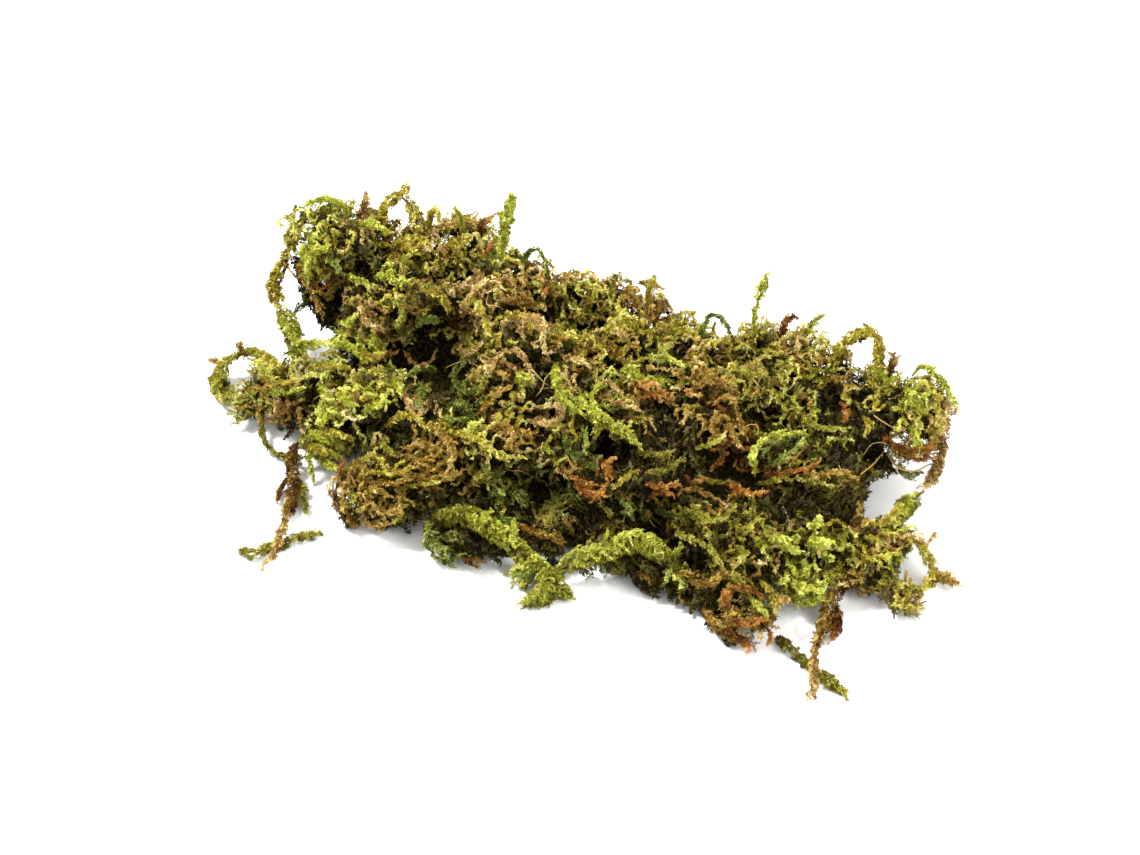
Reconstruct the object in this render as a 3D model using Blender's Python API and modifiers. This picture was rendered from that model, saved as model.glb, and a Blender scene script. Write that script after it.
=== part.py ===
"""Moss clump: a tangled mat of dried leafy moss, with loose shoots that stand up, arch or trail at its rim.
It rests on z = 0 on a flat cut underside. Metres, +Z up, +X to the right, the low front rim towards -Y."""

import math

import bmesh
import bpy
import numpy as np
from mathutils import Matrix, Vector, noise

# Driving dimensions
MM = 0.001
VIEW_TILT = math.radians(40)  # the lists below place things as seen from the front, this far above the floor
VOXEL = 1.7 * MM  # grain in which the lumps of the mat are fused
MAT_TRIANGLES = 5200
GAP = 0.3 * MM  # air left between the mat and the shoots that leave it
RING_STEP = 3.0 * MM  # spacing of the rings along a shoot
TUFT_SIZE = 7.0 * MM  # wavelength of the tufts over the mat
TUFT_RELIEF = 1.6 * MM

# Base masses of the mat: (mm right, mm up the view, mm over the floor, radii x, y, z in mm)
MASSES = (
    (-38, 24.5, 9, 12, 12, 10),
    (-40, 30, 15, 8, 8, 8),
    (-30.5, 18.5, 9, 19, 17, 11),
    (-16, 10, 9, 24, 22, 12),
    (-1, 2, 9, 27, 24, 12),
    (16, -4, 9, 27, 24, 12),
    (32, -8.5, 9, 25, 22, 11.5),
    (45, -10, 8, 19, 18, 11),
    (57, -4, 9, 10, 10, 10),
    (-36, 0, 6, 17, 13, 7),
    (-52, 7, 5, 14, 8, 6),
    (-14, -8.5, 6, 22, 13, 8),
    (6, -14.5, 6, 23, 12, 7),
    (27, -23.5, 5, 16, 13, 7),
    (44, -21, 6, 19, 13, 8),
    (60, -25, 4, 15, 7, 5),
)

# Tufts that stand out of it, in the same form
TUFTS = (
    # upper-left cushion
    (-48, 39.5, 26, 10, 9, 7.5),
    (-54, 42, 25, 6, 6, 5),
    (-43, 41.5, 25, 7, 6, 6),
    (-52, 35, 21, 6, 6, 4.5),
    (-39, 35.5, 22, 7, 7, 6),
    # back rim, left to right
    (-31.5, 37.5, 24, 7.5, 7.5, 7),
    (-23, 38.5, 24, 7.5, 7, 7),
    (-15, 33.5, 24, 7.5, 7, 6.5),
    (-7, 29, 23, 7.5, 7, 6.5),
    (0.5, 27.5, 22, 7.5, 7, 6.5),
    (8, 27, 21, 7, 7, 6.5),
    (15.5, 22.5, 22, 7.5, 7, 6.5),
    (25, 15.5, 21, 8, 7, 6.5),
    (36, 16, 22, 8, 7, 6.5),
    (46, 15.5, 21, 8, 7, 6.5),
    (54.5, 10, 20, 7.5, 7, 6.5),
    # back face, under the rim
    (-46, 32, 10, 8, 6, 7),
    (-34, 31, 11, 8, 6, 7),
    (-21, 28, 10, 8, 7, 8),
    (-8, 25, 11, 8, 6, 7),
    (4, 20.5, 9, 8, 7, 7),
    (16, 17.5, 11, 8, 6, 8),
    (29, 12.5, 9, 8, 7, 7),
    (41, 10.5, 11, 8, 6, 7),
    (53, 5.5, 9, 8, 6, 7),
    (62, 1.5, 10, 6, 6, 7),
    # right cushion
    (68.5, 5, 22, 8.5, 8, 7),
    (62, 7.5, 22, 7, 6, 5.5),
    (73.5, 4.5, 20, 5, 5, 5),
    (70.5, -1, 17, 5, 4.5, 4.5),
    (60, 0, 17, 6.5, 6, 6),
    # upper middle
    (-37.5, 30, 23, 7, 7, 6),
    (-30, 27, 26, 6.5, 6, 5),
    (-43, 25, 20, 6.5, 6, 5),
    (-47.5, 28, 14, 6.5, 5.5, 6),
    (-46.5, 19.5, 14, 6, 5, 5),
    (-17, 27, 27, 7, 6.5, 6),
    (-11.5, 18.5, 26, 7.5, 6.5, 6),
    (-3.5, 16.5, 24, 7, 6, 6),
    (-15.5, 9.5, 22, 6.5, 6, 6),
    (-8.5, 9.5, 23, 6.5, 6, 5),
    (3.5, 6, 23, 8.5, 7, 6),
    (9.5, 17, 23, 8, 7, 6.5),
    (18.5, 11.5, 24, 8, 7, 6.5),
    (27, 7, 24, 7.5, 6.5, 6.5),
    (35.5, 7.5, 22, 7.5, 6.5, 6.5),
    (45, 5.5, 19, 8, 7, 6.5),
    (53, -1, 17, 7.5, 6.5, 6.5),
    # lower middle
    (43.5, -5.5, 18, 9, 6.5, 6),
    (52, -11, 15, 8, 6.5, 6),
    (27, -2.5, 21, 8.5, 6.5, 6),
    (16, -0.5, 21, 7.5, 6.5, 6),
    (14, -10, 18, 8, 6.5, 6),
    (5, -10, 17, 8, 6, 6),
    (-3.5, -5.5, 17, 7.5, 6.5, 6),
    (-12, -2, 17, 8, 6.5, 6),
    (-22, -4, 14, 7.5, 6.5, 6),
    (-30, 2, 16, 7.5, 6.5, 5.5),
    (-41, 6, 15, 9, 7.5, 6),
    (-48, 2.5, 11, 7.5, 6, 5),
    (-32.5, -7.5, 11, 8.5, 6.5, 6),
    (-42, -11, 8, 8.5, 6.5, 5.5),
    (-37, -16.5, 5, 8, 5.5, 5),
    (-43.5, -14.5, 5, 5, 5, 4.5),
    (-29, -13, 7, 7, 6, 5),
    # left fringe
    (-54, -3.5, 4, 5.5, 4.5, 4.5),
    (-53, 10, 10, 8, 6, 5),
    (-47, 13.5, 13, 7, 6, 5),
    (-61, 11, 7, 7.5, 6, 5),
    (-66.5, 7.5, 5, 6, 5, 4.5),
    (-58, 4.5, 6, 8, 5, 5),
    # front middle
    (-23, -21.5, 4, 6.5, 5.5, 4.5),
    (-16, -12.5, 9, 8, 5, 5),
    (-3, -15.5, 8, 10, 7, 5.5),
    (-4, -22, 3, 9, 5, 4),
    (-13, -20.5, 4, 7, 5, 4.5),
    (9.5, -16.5, 10, 8, 6.5, 6),
    (17, -23, 6, 7, 5.5, 5.5),
    (14, -29, 4, 5, 5, 4),
    (8, -26.5, 3, 6, 4.5, 4),
    # right front
    (26, -18.5, 12, 8.5, 7.5, 6),
    (35, -19, 12, 8, 7, 6),
    (32.5, -27, 8, 8.5, 7, 5.5),
    (28.5, -33, 5, 7.5, 6, 5),
    (35.5, -37, 5, 7, 5.5, 5),
    (41, -25, 9, 7, 7, 5.5),
    (47.5, -21, 10, 8.5, 7, 6),
    # right fringe
    (57, -21, 8, 8, 6.5, 5.5),
    (63, -25.5, 6, 6, 5.5, 4.5),
    (66, -34, 4, 4, 5, 4),
    (60, -30, 4, 6, 5, 4),
    (47, -32, 4, 6, 5, 4),
)

# Hollows: (mm right, mm up the view, mm over the floor, radius in mm, depth in mm)
HOLLOWS = (
    (-51, 27, 17, 8, 7),
    (-30, 17, 20, 8, 6),
    (-22, 21, 24, 6, 5),
    (-28, 12, 18, 7, 6),
    (-39, 19, 18, 6, 5),
    (30, -6, 20, 8, 6),
    (58, -12, 14, 7, 6),
    (-7, -12, 14, 7, 5),
    (8, -4, 18, 6, 5),
    (19, -17, 13, 7, 5),
    (-21, -11, 10, 6, 5),
    (-24, 30, 24, 5, 4),
    (3, 23, 24, 5, 4),
    (38, 2, 21, 6, 5),
    (39, -15, 14, 6, 5),
    (-48, -3, 9, 5, 4),
)

# Loose shoots: name, colour, points in the same form, radius in mm at each point
SHOOTS = (
    ("left_upright_shoot", "green", ((-16, 36, 29), (-15, 40, 33), (-14.5, 43.5, 37), (-13.5, 47, 40),
     (-13.5, 49.5, 43)), (0.6, 1.1, 1.3, 1.2, 0.6)),
    ("right_upright_shoot", "green", ((37, 18.5, 26), (37, 24, 32), (38, 27.5, 36), (39.5, 32, 40)),
     (0.6, 1.1, 1.3, 0.6)),
    ("left_rising_shoot", "olive", ((-43, 41, 27), (-40.5, 46, 33), (-38.5, 48.5, 35), (-35.5, 51, 37.5)),
     (1.1, 1.4, 1.3, 0.8)),
    ("left_drooping_shoot", "olive", ((-36.5, 49, 35), (-34.5, 47, 34), (-33, 43.5, 31.5), (-33.5, 39.5, 27)),
     (1, 1.4, 1.3, 0.9)),
    ("right_rising_shoot", "olive", ((53, 13, 23.5), (55, 17, 28.5), (57, 19, 31), (60, 20, 32)),
     (1.1, 1.4, 1.3, 1)),
    ("right_drooping_shoot", "olive", ((59, 22, 34.5), (61, 20, 33), (62, 17.5, 31), (62.5, 12.5, 26.5)),
     (0.9, 1.4, 1.3, 0.9)),
    ("left_knob_sprig", "brown", ((-46, 44.5, 30), (-44.5, 47, 33.5), (-43.5, 48.5, 35.5)), (0.7, 0.9, 1.5)),
    ("right_knob_sprig", "brown", ((64, 10, 25.5), (65, 14, 29.5), (65.5, 16, 32)), (0.7, 0.9, 1.5)),
    ("left_outer_shoot", "brown", ((-57.5, 43.5, 25), (-60, 42, 23), (-61, 37.5, 20), (-63, 33.5, 17),
     (-64, 30, 14), (-63.5, 26.5, 12)), (1.3, 1.6, 1.8, 1.5, 1.7, 1.2)),
    ("left_lime_shoot", "lime", ((-62, 25.5, 11), (-61, 23, 10), (-59.5, 19.5, 9), (-58, 15, 8)),
     (1.3, 1.7, 1.7, 1.3)),
    ("right_outer_shoot", "brown", ((76, 5.5, 20), (76, 1, 18), (75, -3.5, 15), (74, -8, 12), (72, -11, 10)),
     (1.2, 1.6, 1.7, 1.5, 1.2)),
    ("right_lime_shoot", "lime", ((71.5, -12.5, 9), (69, -14.5, 8), (67, -16.5, 8), (64, -20.5, 7.5)),
     (1.4, 1.8, 1.8, 1.3)),
    ("far_left_loop", "olive", ((-63.5, 14.5, 7), (-68, 16.5, 5.5), (-71, 16, 5), (-74, 14, 4),
     (-75.5, 11, 3), (-74, 8, 3), (-70.5, 6, 4)), (1.1, 1.3, 1.3, 1.6, 1.8, 1.6, 1.1)),
    ("far_left_sprig", "brown", ((-74.5, 13.5, 3.5), (-76, 14.5, 3.5), (-77.5, 15, 3)), (0.9, 0.8, 0.5)),
    ("left_fringe_knob", "brown", ((-69.5, 16, 6.5), (-71, 17.5, 8)), (0.8, 1.1)),
    ("far_right_loop", "olive", ((65, -22, 8), (69, -22.5, 7), (71.5, -25.5, 5.5), (72.5, -28.5, 4),
     (71.5, -31.5, 3), (68.5, -33.5, 3)), (1.1, 1.4, 1.5, 1.7, 1.8, 1.3)),
    ("far_right_sprig", "brown", ((73, -30, 3), (75, -30, 2.5), (77.5, -31, 2.5)), (1.3, 1.4, 0.8)),
    ("left_ring_shoot", "brown", ((-65.5, 4, 4), (-65.5, -0.5, 3), (-64, -3.5, 2), (-61.5, -5, 1.5),
     (-57, -6, 2.5)), (0.8, 0.9, 0.9, 0.9, 0.8)),
    ("left_trailing_shoot", "brown", ((-57.5, -2.5, 6), (-59, -5.5, 4), (-58.5, -9, 2.5), (-58.5, -14, 2),
     (-59.5, -18.5, 2)), (1, 1.3, 1.6, 1.5, 1)),
    ("left_trailing_tip", "tan", ((-59.5, -19.5, 2.5), (-60.5, -22.5, 3.8), (-61.5, -25, 3.2),
     (-63.5, -27.5, 1.2)), (0.8, 1, 1.1, 0.8)),
    ("left_trailing_side", "brown", ((-57.5, -10, 1.8), (-56.5, -12.5, 1.5), (-56, -16, 1.3)), (1, 1.2, 0.8)),
    ("left_trailing_hook", "brown", ((-59.5, -10, 1.5), (-61, -12, 1.3), (-61.5, -14.5, 1.1)),
     (0.7, 0.8, 0.6)),
    ("left_crossing_shoot", "green", ((-69, -24.5, 0.9), (-65.5, -25, 1.3), (-61, -23.5, 1.2),
     (-57, -22, 1.3), (-52.5, -21, 0.8)), (0.7, 1.2, 1.1, 1.2, 0.6)),
    ("right_trailing_shoot", "brown", ((56.5, -29.5, 5), (52.5, -33, 4.5), (51, -36, 3), (49.5, -40, 2.2),
     (48, -43.5, 2.2)), (1.1, 1.5, 1.6, 1.5, 1)),
    ("right_trailing_tip", "tan", ((48, -45, 2.8), (47.5, -47, 3.8), (47.5, -50, 3), (47, -52.5, 1.3)),
     (0.8, 1.1, 1.2, 0.9)),
    ("right_trailing_side", "brown", ((52.5, -35, 2.2), (53, -38, 1.6), (52, -42, 1.3)), (0.9, 1.3, 0.8)),
    ("right_crossing_shoot", "green", ((40.5, -41.5, 0.9), (43.5, -44.5, 1.3), (46.5, -47, 1.2),
     (50, -49.5, 1.3), (54, -52.5, 0.8)), (0.7, 1.2, 1.1, 1.2, 0.6)),
    ("front_left_strand", "lime", ((-29, -18.5, 6.5), (-26, -17.5, 9.5), (-22, -17.5, 11), (-17.5, -19.5, 9.5),
     (-13, -23, 7), (-9.5, -26.5, 4.5), (-6, -29, 3)), (1.8, 2.2, 2.4, 2.6, 2.7, 2.6, 2.2)),
    ("front_right_strand", "lime", ((-4, -28.5, 3.5), (1, -26, 6), (6, -24.5, 9), (11.5, -22.5, 11.5),
     (16.5, -24, 10.5), (20, -27.5, 8), (21.5, -30.5, 5.5)), (2.2, 2.5, 2.6, 2.9, 2.8, 2.2, 1.8)),
    ("front_tail_left", "lime", ((-5.5, -31, 2.6), (-6, -33, 2.4), (-8, -34, 2), (-10.5, -35, 1.4)),
     (2.2, 2.2, 1.6, 0.8)),
    ("front_tail_right", "lime", ((-4, -31.5, 2.2), (-2.5, -32.5, 1.8), (-1.5, -34, 1.2)), (1.6, 1.3, 0.7)),
    ("lime_sprig", "lime", ((-23.5, 40, 28), (-24, 44.5, 33), (-25.5, 47, 36)), (0.7, 0.8, 0.6)),
    ("curled_sprig", "olive", ((-31, 40.5, 29), (-30.5, 45, 34), (-29, 46, 35), (-28.5, 44.5, 34)),
     (0.9, 1.1, 1.1, 0.7)),
    ("brown_sprig", "brown", ((-20.5, 40, 28), (-19, 43.5, 32), (-17, 45, 33)), (0.8, 1.1, 0.8)),
    ("thin_arch", "green", ((-12, 34, 27.5), (-9.5, 37.5, 31), (-7, 37, 31.5), (-5.5, 31.5, 27)),
     (0.7, 0.8, 0.8, 0.7)),
    ("middle_knob", "olive", ((14.5, 25, 25.5), (15.5, 29, 29.5), (16, 31.5, 32)), (0.9, 1.1, 1)),
    ("middle_arch", "green", ((25.5, 18.5, 25), (27.5, 23, 30), (30, 23.5, 30.5), (33, 18.5, 25)),
     (0.7, 0.8, 0.8, 0.7)),
    ("rust_sprig", "brown", ((42, 18.5, 25), (44, 23, 30), (45.5, 23.5, 31.5)), (0.8, 1, 0.7)),
    ("thin_sprig", "lime", ((47, 18.5, 25), (49, 22, 29.5), (51, 23.5, 32)), (0.7, 0.8, 0.6)),
    ("upper_left_frond", "lime", ((-47, 45.5, 32), (-50, 48, 34.5), (-54, 48.5, 34.5), (-58.5, 46.5, 32)),
     (0.7, 0.9, 0.9, 0.7)),
    ("right_frond", "lime", ((69, 11, 27), (71.5, 13, 29), (75, 10, 27), (77.5, 6.5, 24)), (0.8, 1, 1.1, 0.9)),
    ("left_bare_stem", "tan", ((-61.5, 35, 15), (-59, 32, 13), (-55.5, 29, 12), (-52, 29.5, 12),
     (-46.5, 31, 13)), (0.5, 0.6, 0.6, 0.6, 0.5)),
    ("right_bare_stem", "tan", ((64, -4.5, 13), (66, -7.5, 12), (69.5, -8.5, 12), (73.5, -6.5, 13)),
     (0.5, 0.6, 0.6, 0.5)),
)

# Colours as linear RGB, one material each
COLOURS = {
    "olive": (0.16, 0.15, 0.03),
    "green": (0.11, 0.16, 0.03),
    "lime": (0.32, 0.37, 0.06),
    "brown": (0.20, 0.11, 0.035),
    "tan": (0.42, 0.25, 0.09),
}


def place(across, up, height):
    """The point that is seen at (across, up) from the front, VIEW_TILT above the floor. All three are in mm."""
    depth = (up - height * math.cos(VIEW_TILT)) / math.sin(VIEW_TILT)
    return Vector((across, depth, height)) * MM


def clear_scene():
    for found in list(bpy.data.objects):
        bpy.data.objects.remove(found, do_unlink=True)


def new_collection(name):
    made = bpy.data.collections.new(name)
    bpy.context.scene.collection.children.link(made)
    return made


def make_material(name, colour):
    material = bpy.data.materials.new(name)
    material.use_nodes = True
    shader = material.node_tree.nodes["Principled BSDF"]
    shader.inputs["Base Color"].default_value = (*colour, 1)
    shader.inputs["Roughness"].default_value = 0.9
    shader.inputs["Metallic"].default_value = 0
    return material


def add_object(name, mesh, collection, material=None):
    made = bpy.data.objects.new(name, mesh)
    collection.objects.link(made)
    if material:
        mesh.materials.clear()
        mesh.materials.append(material)
    return made


def evaluated(source):
    """A plain mesh of the object with its modifiers done."""
    depsgraph = bpy.context.evaluated_depsgraph_get()
    return bpy.data.meshes.new_from_object(source.evaluated_get(depsgraph))


def smooth_path(points, radii):
    """Rings RING_STEP apart along a curve through the points, with their radii."""
    ends = [2 * points[0] - points[1], *points, 2 * points[-1] - points[-2]]
    rings = []
    for i in range(len(points) - 1):
        before, start, end, after = ends[i:i + 4]
        count = max(1, round((end - start).length / RING_STEP))
        for step in range(count):
            t = step / count
            way = 0.5 * (2 * start + (end - before) * t + (2 * before - 5 * start + 4 * end - after) * t * t
                         + (3 * start - before - 3 * end + after) * t ** 3)
            rings.append((way, radii[i] + (radii[i + 1] - radii[i]) * t))
    rings.append((points[-1], radii[-1]))
    return rings


def shoot_mesh(name, points, radii, swell=0.0):
    """A round tapered shoot with closed ends. swell makes it fatter all over and longer at both ends."""
    rings = smooth_path([place(*point) for point in points], [radius * MM for radius in radii])
    if swell:
        first, second, last, before = rings[0][0], rings[1][0], rings[-1][0], rings[-2][0]
        rings[0] = (first + (first - second).normalized() * swell, rings[0][1])
        rings[-1] = (last + (last - before).normalized() * swell, rings[-1][1])
    curve = bpy.data.curves.new(name, "CURVE")
    curve.dimensions = "3D"
    curve.bevel_depth = 1.0
    curve.bevel_resolution = 2
    curve.use_fill_caps = True
    spline = curve.splines.new("POLY")
    spline.points.add(len(rings) - 1)
    for point, (where, radius) in zip(spline.points, rings):
        point.co = (*where, 1)
        point.radius = radius + swell
    holder = bpy.data.objects.new(name, curve)
    bpy.context.scene.collection.objects.link(holder)
    mesh = evaluated(holder)
    bpy.data.objects.remove(holder, do_unlink=True)
    work = bmesh.new()
    work.from_mesh(mesh)
    bmesh.ops.remove_doubles(work, verts=work.verts, dist=0.001 * MM)
    bmesh.ops.recalc_face_normals(work, faces=work.faces)
    work.to_mesh(mesh)
    work.free()
    mesh.name = name
    return mesh


def lumps_mesh():
    """All the masses, tufts and short fingers of the mat as overlapping closed shapes."""
    work = bmesh.new()
    for number, (across, up, height, *radii) in enumerate(MASSES + TUFTS):
        centre = place(across, up, height)
        turn = Matrix.Rotation(number * 2.4, 4, "Z")
        size = Matrix.Diagonal((radii[0] * MM, radii[1] * MM, radii[2] * MM, 1))
        bmesh.ops.create_icosphere(work, subdivisions=3, radius=1, matrix=Matrix.Translation(centre) @ size)
        if number < len(MASSES):
            continue
        for finger in range(6):
            side = turn @ Matrix.Rotation(finger * math.pi / 3, 4, "Z") @ Vector((1, 0, 0.1 + 0.5 * (finger % 2)))
            reach = Vector((side.x * radii[0], side.y * radii[1], side.z * radii[2])) * MM
            way = reach.to_track_quat("Z", "Y").to_matrix().to_4x4()
            middle = Matrix.Translation(centre + reach * 0.63)
            bmesh.ops.create_cone(work, cap_ends=True, segments=8, radius1=2.6 * MM, radius2=0.9 * MM,
                                  depth=reach.length * 1.26, matrix=middle @ way)
    mesh = bpy.data.meshes.new("lumps")
    work.to_mesh(mesh)
    work.free()
    return mesh


def keep_largest_piece(mesh):
    work = bmesh.new()
    work.from_mesh(mesh)
    work.verts.ensure_lookup_table()
    left = set(work.verts)
    pieces = []
    while left:
        start = left.pop()
        piece, edge = {start}, [start]
        while edge:
            found = edge.pop()
            for link in found.link_edges:
                other = link.other_vert(found)
                if other in left:
                    left.discard(other)
                    piece.add(other)
                    edge.append(other)
        pieces.append(piece)
    largest = max(pieces, key=len)
    bmesh.ops.delete(work, geom=[v for v in work.verts if v not in largest], context="VERTS")
    work.to_mesh(mesh)
    work.free()


def shape_mat(mesh):
    """Presses the hollows in and raises the tufts over the whole surface."""
    inward = Vector((0, math.cos(VIEW_TILT), -math.sin(VIEW_TILT)))
    hollows = [(place(*where), radius * MM, depth * MM) for *where, radius, depth in HOLLOWS]
    normals = [vertex.normal.copy() for vertex in mesh.vertices]
    for vertex, normal in zip(mesh.vertices, normals):
        where = vertex.co.copy()
        ridges = abs(noise.noise(where / TUFT_SIZE)) * 2 - 0.5 + 0.5 * noise.noise(where / (0.45 * TUFT_SIZE))
        vertex.co += normal * TUFT_RELIEF * ridges
        for centre, radius, depth in hollows:
            far = (where - centre).length / radius
            if far < 1:
                vertex.co += inward * depth * (1 - far * far) ** 2


def cut_by(target, tools):
    """The target's mesh with the tools taken out of it. Only its largest piece is kept."""
    for tool in tools:
        cut = target.modifiers.new(tool.name, "BOOLEAN")
        cut.operation = "DIFFERENCE"
        cut.solver = "EXACT"
        cut.object = tool
    mesh = evaluated(target)
    target.modifiers.clear()
    keep_largest_piece(mesh)
    return mesh


def boxes_meet(first, second):
    """Whether two objects' boxes overlap."""
    one, two = (np.array([corner[:] for corner in thing.bound_box]) for thing in (first, second))
    return bool((one.min(0) < two.max(0)).all() and (two.min(0) < one.max(0)).all())


def as_cutter(thing):
    thing.hide_render = True
    thing.display_type = "WIRE"
    return thing


def make_mat(cutters):
    """The mat: lumps fused in one skin, shaped, thinned out and cut flat at the floor."""
    lumps = add_object("lumps", lumps_mesh(), cutters)
    fuse = lumps.modifiers.new("fuse", "REMESH")
    fuse.mode = "VOXEL"
    fuse.voxel_size = VOXEL
    skin = evaluated(lumps)
    bpy.data.objects.remove(lumps, do_unlink=True)
    keep_largest_piece(skin)
    shape_mat(skin)
    rough = add_object("rough_mat", skin, cutters)
    thin = rough.modifiers.new("thin", "DECIMATE")
    skin.calc_loop_triangles()
    thin.ratio = MAT_TRIANGLES / len(skin.loop_triangles)
    thin.use_collapse_triangulate = True
    below = bmesh.new()
    box = Matrix.Translation((0, 0, -0.05)) @ Matrix.Diagonal((0.4, 0.4, 0.1, 1))
    bmesh.ops.create_cube(below, size=1, matrix=box)
    below_mesh = bpy.data.meshes.new("floor_cutter")
    below.to_mesh(below_mesh)
    below.free()
    floor = as_cutter(add_object("floor_cutter", below_mesh, cutters))
    mesh = cut_by(rough, [floor])
    bpy.data.objects.remove(rough, do_unlink=True)
    mesh.name = "moss_mat"
    return mesh


def main():
    clear_scene()
    clump = new_collection("moss_clump")
    cutters = new_collection("moss_clump_cutters")
    materials = {name: make_material("moss_" + name, colour) for name, colour in COLOURS.items()}

    mat = add_object("moss_mat", make_mat(cutters), clump, materials["olive"])
    grown = mat.data.copy()
    for vertex, normal in zip(grown.vertices, [vertex.normal.copy() for vertex in mat.data.vertices]):
        vertex.co += normal * GAP
    tools = [as_cutter(add_object("moss_mat_cutter", grown, cutters))]

    for name, colour, points, radii in SHOOTS:
        whole = add_object(name + "_whole", shoot_mesh(name, points, radii), cutters)
        near = [tool for tool in tools if boxes_meet(whole, tool)]
        mesh = cut_by(whole, near)
        bpy.data.objects.remove(whole, do_unlink=True)
        add_object(name, mesh, clump, materials[colour])
        tools.append(as_cutter(add_object(name + "_cutter", shoot_mesh(name + "_cutter", points, radii, GAP), cutters)))


main()
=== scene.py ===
"""The look of the moss clump. Every shoot is grown as a stem wound round with small pointed leaves, and some
shoots have side branchlets, so the fuzz, the curled tips and the gaps between tufts are all geometry; the
shade deep in the clump is also painted into the leaves' colour. Lengths are in millimetres until a mesh is
made."""

import math

import bpy
import numpy as np
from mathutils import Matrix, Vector
from mathutils.bvhtree import BVHTree


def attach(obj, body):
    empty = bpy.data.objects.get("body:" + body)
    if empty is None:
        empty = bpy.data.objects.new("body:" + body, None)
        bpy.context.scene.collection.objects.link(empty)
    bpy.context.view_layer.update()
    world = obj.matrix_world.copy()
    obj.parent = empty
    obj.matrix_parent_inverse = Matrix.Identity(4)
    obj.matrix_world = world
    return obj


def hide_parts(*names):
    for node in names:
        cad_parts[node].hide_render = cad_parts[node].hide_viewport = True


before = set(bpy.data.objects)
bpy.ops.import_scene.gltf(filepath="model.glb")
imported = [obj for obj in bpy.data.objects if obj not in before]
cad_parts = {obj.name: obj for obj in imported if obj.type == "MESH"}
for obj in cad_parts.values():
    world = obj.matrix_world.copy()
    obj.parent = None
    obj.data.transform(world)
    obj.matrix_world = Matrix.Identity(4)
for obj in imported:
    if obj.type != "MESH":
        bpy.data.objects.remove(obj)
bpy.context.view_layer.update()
rng = np.random.default_rng(12)

MM = 0.001
VIEW_TILT = math.radians(40)  # the photograph looks down at the floor at this angle
VIEW_RIGHT = np.array((1.0, 0.0, 0.0))
VIEW_UP = np.array((0.0, math.sin(VIEW_TILT), math.cos(VIEW_TILT)))
VIEW_IN = np.array((0.0, math.cos(VIEW_TILT), -math.sin(VIEW_TILT)))

PAINTED_LIGHT_FROM = np.array((-0.45, 0.3, 0.84))  # the side of a shoot facing this way is painted fresher and lighter, the far side darker: painted light and shade
SIGHT_START = 300  # mm before the clump, where lines of sight start
OVERHEAD = 200.0  # mm over the floor, above the whole clump

SPINE_STEPS = 24  # straight pieces of a shoot's stem
ROOT_STEPS = 3  # of them, those inside the mat
GOLDEN_TURN = 2.39996  # leaves wind round their stem by this angle
WOUND_ROLL = 2  # branchlets that roll further than this, in radians, stand all round their stem
FIELD_CELL = 1.5  # mm, grid on which the height over the mat's skin is kept
AIR_CELL = 1.0  # mm, grid on which the density of leaves is kept
PATCH_SIZE = 1.4  # mm over which the colour of neighbouring leaves stays alike

TUFT_SPACING = 5.5  # mm between tufts
FILLER_TRIES = 9000  # spots that are tried for the fillers between the chosen tufts
FILLER_SKIPPED = 0.12  # share of the good spots that stay empty, so that the cover isn't even
HIGHEST_LIFT = 1.2  # mm that a tuft stands up at most; a larger lift paints it lighter, as painted light, and fresher instead
HOLLOW_DEPTH = 3.0  # mm that the mat sinks in its open places
GAP_MARGIN = 0.6  # mm that shoots keep off the gaps
OLD_SHOOTS = 1080
UNDERSIDE_SHOOTS = 420
THATCH_DEPTH = 5.0  # mm from the skin to the matted inside

# On the sides that the photograph hides, shoots are fewer and have fewer, larger leaves
HIDDEN_SHOOTS, HIDDEN_PITCH, HIDDEN_LEAF = 0.6, 1.65, 1.35

SWAY_GAP = 2.7  # mm between the small sways of a stem
BEAD_GAP = 2.4  # mm between the places where a shoot's leaves are larger
CURL_GAP = 1.3  # mm between the small curls along a shoot
STEM_RADIUS = 0.24
BARE_FOOT = 0.28  # share of a shoot that is leafless
OLD_LIGHT = 0.62  # share of their place up the painted-shade palette that old shoots keep beside fresh ones, so they are drawn darker
THICK_STRAND = 2.4  # mm, radius from which a strand's leaves are small beside it
ON_MAT = -1  # in place of a loose shoot's number, for the shoots of the mat
BARE_NODES = ("left_bare_stem", "right_bare_stem")

FLOOR_CLEARANCE = 0.15
LOWEST_STEM = FLOOR_CLEARANCE + 0.5
PIECE_TRIANGLES = 190000

# What a shoot may look like. Lengths in mm, angles in degrees.
STYLE_FIELDS = ("many", "shortest", "longest", "branch", "gap", "roll", "angle", "bend", "hook", "wobble",
                "curl", "leaf", "width", "spread", "pitch")
STYLES = {
    "rope": (11, 7, 14, 0.0, 9.0, 180, 50, 1.1, 2.2, 0.10, 0.0, 0.62, 0.62, 44, 0.060),
    "curl": (11, 6, 11, 0.0, 9.0, 180, 50, 1.9, 4.5, 0.18, 0.0, 0.62, 0.62, 44, 0.060),
    "feather": (6, 8, 14, 2.2, 0.85, 45, 50, 1.2, 2.0, 0.14, 1.8, 0.58, 0.60, 44, 0.070),
    "comb": (6, 8, 14, 2.5, 0.65, 30, 42, 1.1, 1.7, 0.10, 1.5, 0.52, 0.60, 38, 0.075),
    "crumple": (11, 5, 10, 1.4, 1.4, 180, 60, 2.2, 3.6, 0.30, 1.6, 0.62, 0.66, 48, 0.066),
    "wire": (5, 6, 11, 0.0, 9.0, 180, 40, 3.0, 3.0, 0.12, 0.0, 0.50, 0.40, 30, 1.60),
    "old": (1, 7, 13, 0.0, 9.0, 180, 60, 1.2, 1.2, 0.25, 0.0, 1.50, 0.60, 50, 0.165),
}

# Colour families of the shoots
KINDS = ("olive", "gold", "lime", "green", "brown", "rust", "tan", "old")
# Colour families of the single shoots that differ from their tuft
FRESH_STRAYS = ("olive", "gold", "brown", "tan")
OLD_STRAYS = ("old", "old", "brown", "olive")
STRAY_SHARE = 0.24
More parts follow.
